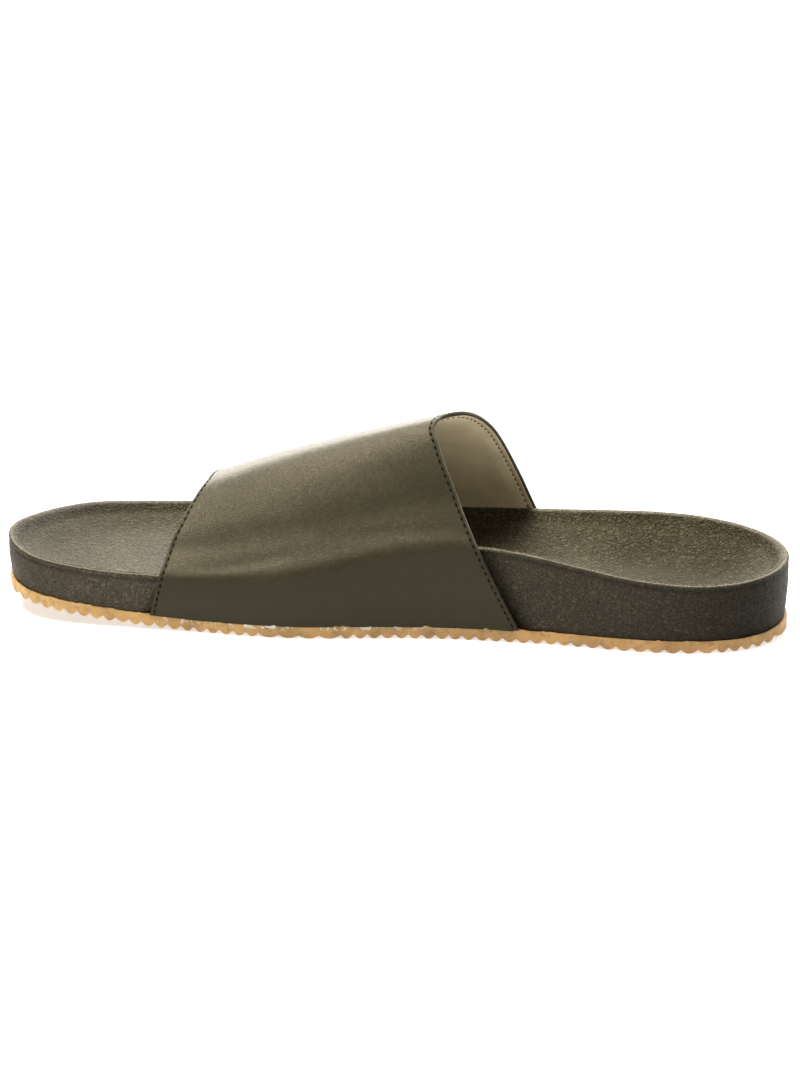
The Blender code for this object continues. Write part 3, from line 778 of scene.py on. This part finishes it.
def make_lining(form, sizes, look):
    """Thin lining glued inside the strap, with a groove under its seams."""
    start, inset = sizes.turned_edge - LINING_OVERLAP, sizes.lining_seam_inset

    def depth(distance):
        gap = (distance - inset) / LINING_TROUGH
        return skived(distance, sizes) + LINING_SINK - LINING_TROUGH_DEPTH * math.exp(-gap * gap)

    near = np.arange(start + 0.15 * MM, LINING_BAND, LINING_BAND_STEP)
    lip = [skived(start, sizes) - drop for drop in LINING_LIP]
    front = [(start, 0, d) for d in lip] + [(d, 0, depth(d)) for d in near]
    middle_part = [(0.0, share, depth(20 * MM)) for share in np.linspace(0.09, 0.91, 64)]
    back = [(0.0, share, sizes.edge_thickness * 0.7) for share in np.linspace(0.95, 0.05, 14)]
    rows = form.shell(front + middle_part + mirrored(front) + back)
    piece = capped_tube("strap_lining", rows)
    finish_piece(piece, look, "strap_leather")


def stitch_shape(length, radius):
    """One stitch along +X, humped in its middle, as sections of a thin capsule."""
    steps, sides = 7, 7
    t = np.linspace(-1.0, 1.0, steps)
    swell = np.sqrt(np.clip(1.04 - t**2 * 0.98, 0.0, 1.0))
    turn = np.linspace(0, 2 * math.pi, sides, endpoint=False)
    rise = radius * (0.25 - 1.30 * t**2)
    x = np.repeat(t[:, None] * length / 2, sides, axis=1)
    y = np.cos(turn)[None, :] * radius * swell[:, None]
    z = np.sin(turn)[None, :] * radius * 0.8 * swell[:, None] + rise[:, None]
    return np.stack([x, y, z], axis=-1)


def seam_places(form, share_of, first, last, pitch):
    """Shares across of evenly spaced stitches along an edge of the strap."""
    u = np.linspace(first, last, 900)
    line = form.point(u, share_of(u))
    travelled = np.concatenate([[0.0], np.cumsum(np.linalg.norm(np.diff(line, axis=0), axis=1))])
    count = int(travelled[-1] / pitch)
    return np.interp((np.arange(count) + 0.5) * travelled[-1] / count, travelled, u)


def seam(form, sizes, rear, inner):
    """Points and faces of one row of stitches, along the front or rear edge, outside or inside."""
    inset = sizes.lining_seam_inset if inner else sizes.seam_inset
    depth = skived(inset, sizes) - LINING_THREAD_RISE if inner else THREAD_SINK

    def share_of(u):
        share = inset / np.interp(u, form.across, form.width)
        return 1 - share if rear else share

    places = seam_places(form, share_of, *SEAM_ENDS, sizes.stitch_pitch)
    errors = np.random.default_rng(5 + 2 * rear + inner).normal(size=(len(places), 2)) * HAND_ERROR
    normal = unit(form.read(form.normals, places, share_of(places))) * (-1 if inner else 1)
    before, after = np.maximum(places - SEAM_REACH, 0.0), np.minimum(places + SEAM_REACH, 1.0)
    along = unit(form.point(after, share_of(after)) - form.point(before, share_of(before)))
    along = unit(along - normal * np.sum(along * normal, axis=1, keepdims=True))
    slant = math.radians(sizes.stitch_slant) + errors[:, :1]
    x_way = along * np.cos(slant) + np.cross(normal, along) * np.sin(slant)
    ways = np.stack([x_way, np.cross(normal, x_way), normal], axis=1)
    seats = form.point(places, share_of(places)) + normal * (depth if inner else -depth)
    shape = stitch_shape(sizes.stitch_length, sizes.thread_width / 2)
    local = shape.reshape(-1, 3) * (1 + errors[:, 1, None, None])
    points = seats[:, None, :] + local @ ways
    single = tube_faces(*shape.shape[:2])
    faces = [[k + n * points.shape[1] for k in face] for n in range(len(places)) for face in single]
    return points.reshape(-1, 3), faces


def make_stitching(form, sizes, look, inner):
    """The strap's two seams on one of its faces, as one piece."""
    front, front_faces = seam(form, sizes, False, inner)
    rear, rear_faces = seam(form, sizes, True, inner)
    faces = front_faces + [[k + len(front) for k in f] for f in rear_faces]
    name = "lining_stitches" if inner else "strap_stitches"
    piece = new_piece(name, np.vstack([front, rear]), faces)
    finish_piece(piece, look, "strap_leather")


def rib_height(forward, side):
    """Height of the tread's underside over the plane that it stands on."""
    zigzag = 2 * np.abs(((side + 4 * RIB_ZIGZAG_WIDTH) / RIB_ZIGZAG_WIDTH / 2) % 1.0 - 0.5) - 0.5
    at = forward + zigzag * RIB_ZIGZAG
    ends = [zone[0] for zone in TREAD_ZONES[1:]] + [TREAD_REAR_END]
    height = np.zeros(np.broadcast(forward, side).shape)
    for (start, pitch, depth), end in zip(TREAD_ZONES, ends):
        step = (start - end) / max(1, round((start - end) / pitch))
        phase = ((start - at) / step) % 1.0
        tooth = np.abs(phase - 0.5) * 2.0
        groove = np.clip((tooth - RIB_FLAT) / (1 - RIB_FLAT), 0.0, 1.0) ** RIB_ROUNDING
        inside = (at <= start) & (at > end)
        height = np.where(inside, depth * groove, height)
    return height


def outsole_reach(forward, medial):
    """How far the outsole stands out from the footbed's outline."""
    front, rear = (np.where(medial, STRAP_EDGES[0][k], STRAP_EDGES[-1][k]) for k in (2, 3))
    inside = np.minimum(forward - rear, front - forward) / OUTSOLE_BLEND + 1.0
    return OUTSOLE_LEDGE + (OUTSOLE_UNDER_STRAP - OUTSOLE_LEDGE) * ease(inside)


def outsole_edges():
    """The outsole's medial and lateral edges as matching rows, closer together at heel and toe."""
    sole = Sole(2400)
    medial, lateral = halves(sole.inset(-outsole_reach(sole.rows[:, 0], sole.medial)))
    low, high = medial[0, 0], medial[-1, 0]
    turn = np.linspace(0.0, math.pi, OUTSOLE_ROWS)[1:-1]
    forward = low + (high - low) * (1 - np.cos(turn)) / 2
    return forward, *(np.interp(forward, half[:, 0], half[:, 1]) for half in (medial, lateral))


def make_outsole(look):
    """Gum outsole: rippled underneath, with a slightly uneven rounded side and a ragged top edge."""
    forward, medial, lateral = outsole_edges()
    across = (1 - np.cos(np.linspace(0, math.pi, OUTSOLE_ACROSS))) / 2
    across = 0.35 * across + 0.65 * np.linspace(0, 1, OUTSOLE_ACROSS)
    side = medial[:, None] + (lateral - medial)[:, None] * across[None, :]
    f = np.repeat(forward[:, None], OUTSOLE_ACROSS, axis=1)
    spring = toe_spring(f)
    under = place(f, side, rib_height(f, side) + spring)
    over = place(f, side, OUTSOLE_THICKNESS + spring)[:, ::-1]
    strip = np.linspace(0.0, 1.0, OUTSOLE_SIDE)
    bulge = np.sin(strip * math.pi) ** 0.6
    coarse, fine = Ripples(31, 9 * MM), Ripples(37, 2.2 * MM)

    def side_strip(start, end, out, upward):
        rows = start[:, None, :] + (end - start)[:, None, :] * strip[None, :, None]
        rows[..., 1] += out * OUTSOLE_CORNER * (bulge - 1.0)[None, :]
        upper = ease((upward - 0.55) / 0.45)
        crumbs = RAGGED_EDGE * np.clip(coarse(rows) + 0.6 * fine(rows), 0.0, None) * upper[None, :]
        rows[..., 2] += crumbs
        rows[..., 1] += out * 0.4 * crumbs
        return rows

    right = side_strip(under[:, -1], over[:, 0], 1.0, strip)
    left = side_strip(over[:, -1], under[:, 0], -1.0, 1.0 - strip)
    rows = np.concatenate([under[:, 1:-1], right, over[:, 1:-1], left], axis=1)
    rows[..., 1] += GUM_UNEVENNESS * Ripples(21, 7 * MM)(rows)
    piece = capped_tube("gum_outsole", rows)
    piece.data.set_sharp_from_angle(angle=math.radians(60))
    finish_piece(piece, look, "gum_rubber", "outsole")


class Graph:
    """A material's node tree with short ways to add and join nodes."""

    def __init__(self, name):
        self.material = bpy.data.materials.new(name)
        self.material.use_nodes = True
        self.tree = self.material.node_tree
        self.shader = self.tree.nodes["Principled BSDF"]
        self.place = self.add("ShaderNodeTexCoord").outputs["Object"]

    def add(self, kind, inputs=(), **settings):
        """A new node with its settings made and its sockets set or joined."""
        node = self.tree.nodes.new(kind)
        for key, value in settings.items():
            setattr(node, key, value)
        for key, value in dict(inputs).items():
            self.put(node.inputs[key], value)
        return node

    def put(self, target, value):
        """Sets a socket, or joins it when the value is another node's output."""
        if isinstance(value, bpy.types.NodeSocket):
            self.tree.links.new(value, target)
        else:
            target.default_value = value

    def stretched(self, stretch):
        if stretch is None:
            return self.place
        inputs = {"Scale": stretch, "Vector": self.place}
        return self.add("ShaderNodeMapping", inputs).outputs["Vector"]

    def noise(self, size, detail=3.0, roughness=0.55, stretch=None, warp=0.0):
        inputs = {"Scale": 1.0 / size, "Detail": detail, "Roughness": roughness, "Distortion": warp}
        inputs["Vector"] = self.stretched(stretch)
        return self.add("ShaderNodeTexNoise", inputs).outputs["Fac"]

    def cells(self, size, stretch=None):
        """Distance to the borders of rounded cells of a size, on warped coordinates."""
        shift = self.add("ShaderNodeTexNoise", {"Scale": 0.6 / size, "Detail": 1.0, "Vector": self.place})
        inputs = {0: shift.outputs["Color"], "Scale": CELL_WARP * size}
        scaled = self.add("ShaderNodeVectorMath", inputs, operation="SCALE")
        inputs = {0: self.stretched(stretch), 1: scaled.outputs["Vector"]}
        moved = self.add("ShaderNodeVectorMath", inputs, operation="ADD")
        inputs = {"Scale": 1.0 / size, "Vector": moved.outputs["Vector"]}
        return self.add("ShaderNodeTexVoronoi", inputs, feature="DISTANCE_TO_EDGE").outputs["Distance"]

    def creases(self, size, stretch=None):
        """0 along short wandering creases, rising to either side."""
        waves = self.noise(size, detail=1.5, stretch=stretch, warp=0.7)
        return self.math("ABSOLUTE", self.math("SUBTRACT", waves, 0.5))

    def math(self, operation, first, second=0.0):
        return self.add("ShaderNodeMath", {0: first, 1: second}, operation=operation).outputs[0]

    def times(self, first, second):
        return self.math("MULTIPLY", first, second)

    def spread(self, value, low, high, to_low=0.0, to_high=1.0):
        inputs = {"Value": value, "From Min": low, "From Max": high, "To Min": to_low, "To Max": to_high}
        node = self.add("ShaderNodeMapRange", inputs, interpolation_type="SMOOTHSTEP")
        return node.outputs["Result"]

    def mix(self, share, first, second):
        inputs = {"Factor": share, "A": rgba(first), "B": rgba(second)}
        return self.add("ShaderNodeMix", inputs, data_type="RGBA").outputs["Result"]

    def vary(self, share, colour, low, high):
        """A colour between two tones of itself."""
        return self.mix(share, tone(colour, low), tone(colour, high))

    def tint(self, share, base, colour, factor):
        """Lays a tone of a colour over the base by a share."""
        return self.mix(share, base, tone(colour, factor))

    def attribute(self, name):
        return self.add("ShaderNodeAttribute", attribute_name=name).outputs["Fac"]

    def axis(self, name):
        return self.add("ShaderNodeSeparateXYZ", {"Vector": self.place}).outputs[name]

    def upright(self, low=0.10, high=0.50):
        """1 where the surface stands upright, 0 where it faces well upward."""
        normal = self.add("ShaderNodeNewGeometry").outputs["Normal"]
        way = self.add("ShaderNodeSeparateXYZ", {"Vector": normal})
        return self.spread(way.outputs["Z"], low, high, 1.0, 0.0)

    def bump(self, *heights):
        """Stacks bumps; each is (height, depth in metres, strength)."""
        inputs = {}
        for height, depth, strength in heights:
            inputs.update({"Distance": depth, "Strength": strength, "Height": height})
            inputs["Normal"] = self.add("ShaderNodeBump", inputs).outputs["Normal"]
        self.put(self.shader.inputs["Normal"], inputs["Normal"])

    def finish(self, colour, roughness, **sockets):
        self.put(self.shader.inputs["Base Color"], colour)
        self.put(self.shader.inputs["Roughness"], roughness)
        for key, value in sockets.items():
            self.shader.inputs[key.replace("_", " ")].default_value = value
        return self.material


def rgba(value):
    """A colour with its alpha, or a socket as it is."""
    if isinstance(value, bpy.types.NodeSocket):
        return value
    return (*tuple(value)[:3], 1.0)


def tone(colour, factor):
    return tuple(min(1.0, c * factor) for c in tuple(colour)[:3])


def grained_leather(colours, sizes):
    """Pebbled olive leather of the footbed: deeper creased on the bed, darker down the wall as painted shade,
    and with painted light and shade on the bed.
    """
    g = Graph("grained_leather")
    upright, length = g.upright(), g.axis("X")
    bed_worm = g.creases(sizes.pebble, stretch=(0.80, 1.10, 1.0))
    wall_worm = g.creases(sizes.pebble * 0.75)
    bed_cell = g.cells(sizes.pebble * 0.7, stretch=(0.75, 1.1, 1.0))
    worm = g.mix(upright, bed_worm, wall_worm)
    line = g.spread(worm, 0.0, 0.04, 1.0, 0.0)
    pillow = g.times(g.spread(worm, 0.0, 0.11), g.spread(bed_cell, 0.0, 0.12, 0.4, 1.0))
    grain = g.math("ADD", pillow, g.times(g.noise(0.4 * MM, detail=2.0), 0.2))
    cloud = g.noise(20 * MM)
    rubbed = g.spread(g.noise(4 * MM, detail=4.0), 0.42, 0.70)
    base = g.vary(g.spread(cloud, 0.35, 0.68), colours.footbed, 0.86, 1.12)
    base = g.tint(g.times(rubbed, 0.5), base, colours.footbed, 0.78)
    # Painted shade: the bed darkens towards the toe's front
    base = g.tint(g.spread(length, *TOE_BED_PAINTED_SHADE, 0.0, 0.9), base, colours.footbed, 0.60)
    # Painted light: the bed is lighter at the heel's lateral side
    lateral_heel_painted_light = g.times(g.spread(length, *HEEL_BED_PAINTED_LIGHT), g.spread(g.axis("Y"), *LATERAL_BED_PAINTED_LIGHT, 0.0, 0.8))
    base = g.tint(lateral_heel_painted_light, base, colours.footbed, 1.30)
    wall = g.vary(g.spread(cloud, 0.3, 0.7), colours.wall, 0.90, 1.06)
    # Painted shade: the wall darkens from toe to heel, most at the heel's end, and at the toe's front
    wall = g.tint(g.spread(length, *WALL_PAINTED_SHADE_TO_HEEL, 0.0, 0.85), wall, colours.wall, 0.42)
    wall = g.tint(g.spread(length, *HEEL_WALL_PAINTED_SHADE, 0.0, 0.9), wall, colours.wall, 0.16)
    wall = g.tint(g.spread(length, *TOE_WALL_PAINTED_SHADE, 0.0, 0.8), wall, colours.wall, 0.50)
    # Painted shadow: the wall darkens at the strap's rear edge
    wall = g.tint(g.times(g.attribute("tuck"), 0.9), wall, colours.wall, 0.10)
    # One leather in two tones by facing: upright faces take the wall's tones, partly painted light and shade
    base = g.mix(upright, base, wall)
    # Dark grain creases: partly the leather's grain, partly painted shade in them
    base = g.tint(g.times(line, 0.80), base, colours.wall, 0.15)
    # Painted shade: a darker band just below the rim's crest
    base = g.tint(g.times(g.attribute("fold"), 0.38), base, colours.wall, 0.18)
    # Lighter rim crest: partly rubbed wear, partly painted highlight
    base = g.mix(g.times(g.attribute("rim"), 0.8), base, colours.rim)
    g.bump((cloud, 0.5 * MM, 0.20), (grain, 0.85 * MM, 1.0))
    return g.finish(base, 0.50, Specular_IOR_Level=0.12, Specular_Tint=WARM_GLOSS)


def smooth_leather(colours):
    """Fine-grained olive leather of the strap, with a broad waxy sheen and painted shade on its steep faces.
    """
    g = Graph("strap_smooth_leather")
    grain = g.spread(g.cells(0.62 * MM), 0.0, 0.25)
    mottled = g.noise(1.5 * MM, detail=5.0, roughness=0.7)
    patch = g.noise(7 * MM, detail=4.0)
    cloud = g.noise(26 * MM)
    base = g.vary(g.spread(cloud, 0.35, 0.68), colours.strap, 0.90, 1.10)
    base = g.tint(g.spread(patch, 0.40, 0.68, 0.0, 0.5), base, colours.strap, 0.80)
    base = g.tint(g.spread(mottled, 0.40, 0.62, 0.45, 0.0), base, colours.strap, 0.55)
    # Painted shade: the strap is darker where it stands upright
    base = g.tint(g.upright(-0.1, 0.75), base, colours.strap, 0.38)
    g.bump((patch, 0.20 * MM, 0.22), (mottled, 0.16 * MM, 0.38), (grain, 0.10 * MM, 0.45))
    rough = g.spread(mottled, 0.3, 0.7, 0.36, 0.29)
    return g.finish(base, rough, Specular_IOR_Level=0.24, Specular_Tint=WARM_GLOSS)


def lining_leather(colours):
    """Matt khaki lining with a short nap."""
    g = Graph("strap_lining_leather")
    nap = g.noise(0.5 * MM, detail=4.0, roughness=0.65)
    cloud = g.noise(11 * MM, detail=4.0)
    base = g.vary(g.spread(cloud, 0.35, 0.7), colours.lining, 0.90, 1.06)
    base = g.tint(g.spread(nap, 0.3, 0.7, 0.0, 0.45), base, colours.lining, 0.82)
    g.bump((cloud, 0.3 * MM, 0.2), (nap, 0.12 * MM, 0.5))
    return g.finish(base, 0.78, Specular_IOR_Level=0.30, Sheen_Weight=0.25, Sheen_Roughness=0.5)


def thread(name, colour):
    """Twisted waxed thread."""
    g = Graph(name)
    twist = g.noise(0.25 * MM, detail=1.0)
    g.bump((twist, 0.06 * MM, 0.6))
    return g.finish(g.vary(twist, colour, 0.7, 1.35), 0.7, Specular_IOR_Level=0.12)


def gum_rubber(colours):
    """Caramel gum, lighter and clearer at the ribs, with dried cement along the strap's foot."""
    g = Graph("gum_rubber")
    length = g.axis("X")
    cloud = g.noise(14 * MM)
    speck = g.noise(1.1 * MM, detail=4.0)
    blotch = g.noise(3.0 * MM, detail=5.0, roughness=0.65)
    gum = g.mix(g.spread(length, *TOE_TO_HEEL_GUM), colours.gum_toe, colours.gum)
    gum = g.tint(g.spread(cloud, 0.35, 0.65, 0.0, 0.8), gum, colours.gum, 0.70)
    gum = g.tint(g.spread(speck, 0.58, 0.72, 0.0, 0.35), gum, colours.gum_toe, 1.1)
    gum = g.tint(g.spread(blotch, 0.50, 0.66, 0.0, 0.6), gum, colours.gum, 0.50)
    strap_part = g.times(g.spread(length, *STRAP_FROM_FRONT), g.spread(length, *STRAP_FROM_REAR))
    strap_foot_part = g.times(g.spread(g.axis("Z"), *GUM_TOP), strap_part)
    patches = g.spread(g.noise(3.6 * MM, detail=4.0, warp=1.2), 0.52, 0.60)
    # Darker patches along the gum's top at the strap's foot
    dark_top_patches = g.spread(g.noise(5 * MM, detail=5.0, warp=0.8), 0.50, 0.62)
    gum = g.tint(g.times(g.times(dark_top_patches, strap_foot_part), 0.6), gum, colours.gum, 0.40)
    gum = g.mix(g.times(patches, strap_foot_part), gum, colours.cement)
    g.bump((cloud, 0.4 * MM, 0.2), (speck, 0.10 * MM, 0.5), (patches, 0.15 * MM, 0.3))
    sockets = {"Subsurface_Weight": 0.55, "Subsurface_Scale": 2.5 * MM, "Subsurface_Radius": SUBSURFACE_REACH}
    return g.finish(gum, g.spread(speck, 0.3, 0.7, 0.48, 0.66), Specular_IOR_Level=0.4, **sockets)


def studio_white(name, colour):
    """Pale floor that glows a little, so that it stays clear of the shoe's shade."""
    g = Graph(name)
    base = g.vary(g.spread(g.noise(0.4, detail=2.0), 0.3, 0.7), colour, 0.995, 1.0)
    return g.finish(base, 0.9, Specular_IOR_Level=0.1, Emission_Strength=FLOOR_GLOW, Emission_Color=WHITE)


def area_light(name, position, size, power):
    """A rectangle of soft warm light, aimed at the shoe."""
    data = bpy.data.lights.new(name, "AREA")
    data.shape = "RECTANGLE"
    data.size, data.size_y = size
    data.energy = power
    data.color = WARM_LIGHT
    lamp = bpy.data.objects.new(name, data)
    bpy.context.scene.collection.objects.link(lamp)
    aim(lamp, position)


def aim(thing, position):
    """Puts a thing at a position with its -Z towards the shoe and its X level."""
    back = unit(np.array(position) - np.array(TARGET))
    right = unit(np.cross((0.0, 0.0, 1.0), back))
    up = np.cross(back, right)
    turned = Matrix(np.column_stack([right, up, back]).tolist()).to_4x4()
    thing.matrix_world = Matrix.Translation(Vector(position)) @ turned


def number_property(name, description, default, **kind):
    return FloatProperty(name=name, description=description, default=default, **kind)


def length_property(name, description, default):
    return number_property(name, description, default, unit="LENGTH")


def colour_property(name, description, default):
    return FloatVectorProperty(name=name, description=description, default=default, subtype="COLOR")


class SandalSizes(bpy.types.PropertyGroup):
    strap_thickness: length_property("Strap", "Leather and lining together", STRAP_THICKNESS)
    turned_edge: length_property("Turned edge", "Leather folded inside", 1.2 * MM)
    edge_thickness: length_property("Edge", "Strap at its folded edges", 1.7 * MM)
    seam_inset: length_property("Seam", "From the strap's edge to its seam", 1.6 * MM)
    seam_depth: length_property("Seam depth", "How far the seam sinks in", 0.30 * MM)
    lining_seam_inset: length_property("Lining seam", "From the edge to the seam inside", 2.5 * MM)
    stitch_pitch: length_property("Stitch pitch", "From one stitch to the next", 2.75 * MM)
    stitch_length: length_property("Stitch length", "Thread that shows", 1.9 * MM)
    thread_width: length_property("Thread", "Width of the thread", 0.75 * MM)
    stitch_slant: number_property("Slant", "Degrees off the seam's line", 7.0)
    pebble: length_property("Pebble", "Size of the leather's grain", 2.0 * MM)


class SandalColours(bpy.types.PropertyGroup):
    strap: colour_property("Strap", "Smooth olive leather", (0.062, 0.055, 0.034))
    # Wall and footbed are one leather; their two tones are partly painted light and shade
    wall: colour_property("Wall", "Grained leather of the side wall", (0.122, 0.108, 0.079))
    footbed: colour_property("Footbed", "Grained leather under the foot", (0.084, 0.073, 0.042))
    # The rim's colour is partly rubbed wear, partly painted highlight
    rim: colour_property("Rim", "Rubbed crest of the rim", (0.230, 0.197, 0.130))
    lining: colour_property("Lining", "Khaki lining", (0.760, 0.650, 0.425))
    gum: colour_property("Gum", "Rubber at the heel", (0.560, 0.340, 0.135))
    gum_toe: colour_property("Gum at toe", "Rubber at the toe", (0.600, 0.385, 0.150))
    cement: colour_property("Cement", "Dried cement on the rubber", (0.780, 0.720, 0.600))
    thread: colour_property("Thread", "Top stitching", (0.004, 0.003, 0.002))
    lining_thread: colour_property("Lining thread", "Stitching inside", (0.230, 0.155, 0.085))
    floor: colour_property("Floor", "Studio floor", (0.600, 0.600, 0.600))


class StudioSettings(bpy.types.PropertyGroup):
    azimuth: number_property("Azimuth", "Camera's turn round the shoe", math.radians(9), subtype="ANGLE")
    elevation: number_property("Elevation", "Camera's height angle", math.radians(19), subtype="ANGLE")
    distance: length_property("Distance", "Camera to the shoe", 1.4)
    lens: number_property("Lens", "Focal length in millimetres", 129.9)
    overhead: number_property("Overhead", "Power of the top light", 50.0)
    rear: number_property("Rear", "Power of the light behind", 76.0)
    fill: number_property("Fill", "Power of the light at the heel's side", 3.0)
    world: number_property("Surround", "Strength of the surrounding light", 0.10)


class SANDAL_OT_footbed(bpy.types.Operator):
    """Makes the leather-wrapped footbed"""

    bl_idname = "sandal.footbed"
    bl_label = "Footbed"

    def execute(self, context):
        scene = context.scene
        make_footbed(grained_leather(scene.sandal_colours, scene.sandal_sizes))
        return {"FINISHED"}


class SANDAL_OT_outsole(bpy.types.Operator):
    """Makes the rippled gum outsole"""

    bl_idname = "sandal.outsole"
    bl_label = "Outsole"

    def execute(self, context):
        make_outsole(gum_rubber(context.scene.sandal_colours))
        return {"FINISHED"}


class SANDAL_OT_strap(bpy.types.Operator):
    """Makes the strap's outer leather and its lining"""

    bl_idname = "sandal.strap"
    bl_label = "Strap and lining"

    def execute(self, context):
        sizes, colours = context.scene.sandal_sizes, context.scene.sandal_colours
        form = StrapForm(sizes.strap_thickness)
        make_strap(form, sizes, smooth_leather(colours))
        make_lining(form, sizes, lining_leather(colours))
        return {"FINISHED"}


class SANDAL_OT_stitching(bpy.types.Operator):
    """Makes the seams along the strap's edges, outside and inside"""

    bl_idname = "sandal.stitching"
    bl_label = "Stitching"

    def execute(self, context):
        sizes, colours = context.scene.sandal_sizes, context.scene.sandal_colours
        form = StrapForm(sizes.strap_thickness)
        make_stitching(form, sizes, thread("dark_thread", colours.thread), False)
        make_stitching(form, sizes, thread("tan_thread", colours.lining_thread), True)
        return {"FINISHED"}


class SANDAL_OT_stage(bpy.types.Operator):
    """Sets the pale floor, the soft lights and the camera"""

    bl_idname = "sandal.stage"
    bl_label = "Stage"

    def execute(self, context):
        scene, studio = context.scene, context.scene.sandal_studio
        corners = np.array([(-1, -1, 0), (1, -1, 0), (1, 1, 0), (-1, 1, 0)]) * FLOOR_HALF
        floor = new_piece("studio_floor", corners, [[0, 1, 2, 3]])
        floor.data.materials.append(studio_white("studio_floor", scene.sandal_colours.floor))
        place_camera(scene, studio)
        for name, setting, position, size in LIGHTS:
            area_light(name, position, size, getattr(studio, setting))
        world = bpy.data.worlds.new("studio_surround")
        world.use_nodes = True
        sky = world.node_tree.nodes["Background"].inputs
        sky["Color"].default_value = WHITE
        sky["Strength"].default_value = studio.world
        scene.world = world
        scene.view_settings.view_transform = "Standard"
        return {"FINISHED"}


def place_camera(scene, studio):
    """Camera at the photograph's angle to the shoe."""
    data = bpy.data.cameras.new("studio_camera")
    data.lens, data.sensor_width = studio.lens, 36.0
    camera = bpy.data.objects.new("studio_camera", data)
    scene.collection.objects.link(camera)
    flat = math.cos(studio.elevation)
    back = np.array(
        [math.sin(studio.azimuth) * flat, -math.cos(studio.azimuth) * flat, math.sin(studio.elevation)]
    )
    aim(camera, np.array(TARGET) + back * studio.distance)
    scene.camera = camera


class SANDAL_PT_panel(bpy.types.Panel):
    """Lists the sandal's pieces with their sizes and colours"""

    bl_idname = "SANDAL_PT_panel"
    bl_label = "Slide Sandal"
    bl_space_type = "VIEW_3D"
    bl_region_type = "UI"
    bl_category = "Sandal"

    def draw(self, context):
        scene = context.scene
        for operator in OPERATORS:
            self.layout.operator(operator.bl_idname)
        for setting in GROUPS:
            group, box = getattr(scene, setting), self.layout.box()
            for name in group.bl_rna.properties.keys():
                if name not in ("rna_type", "name"):
                    box.prop(group, name)


GROUPS = {"sandal_sizes": SandalSizes, "sandal_colours": SandalColours, "sandal_studio": StudioSettings}
OPERATORS = (
    SANDAL_OT_stage,
    SANDAL_OT_footbed,
    SANDAL_OT_outsole,
    SANDAL_OT_strap,
    SANDAL_OT_stitching,
)


def register():
    for cls in (*GROUPS.values(), *OPERATORS, SANDAL_PT_panel):
        bpy.utils.register_class(cls)
    for name, group in GROUPS.items():
        setattr(bpy.types.Scene, name, PointerProperty(type=group))


def unregister():
    for name in GROUPS:
        delattr(bpy.types.Scene, name)
    for cls in reversed((*GROUPS.values(), *OPERATORS, SANDAL_PT_panel)):
        bpy.utils.unregister_class(cls)


def main():
    register()
    bpy.ops.sandal.stage()
    bpy.ops.sandal.footbed()
    bpy.ops.sandal.outsole()
    bpy.ops.sandal.strap()
    bpy.ops.sandal.stitching()


if __name__ == "__main__":
    main()
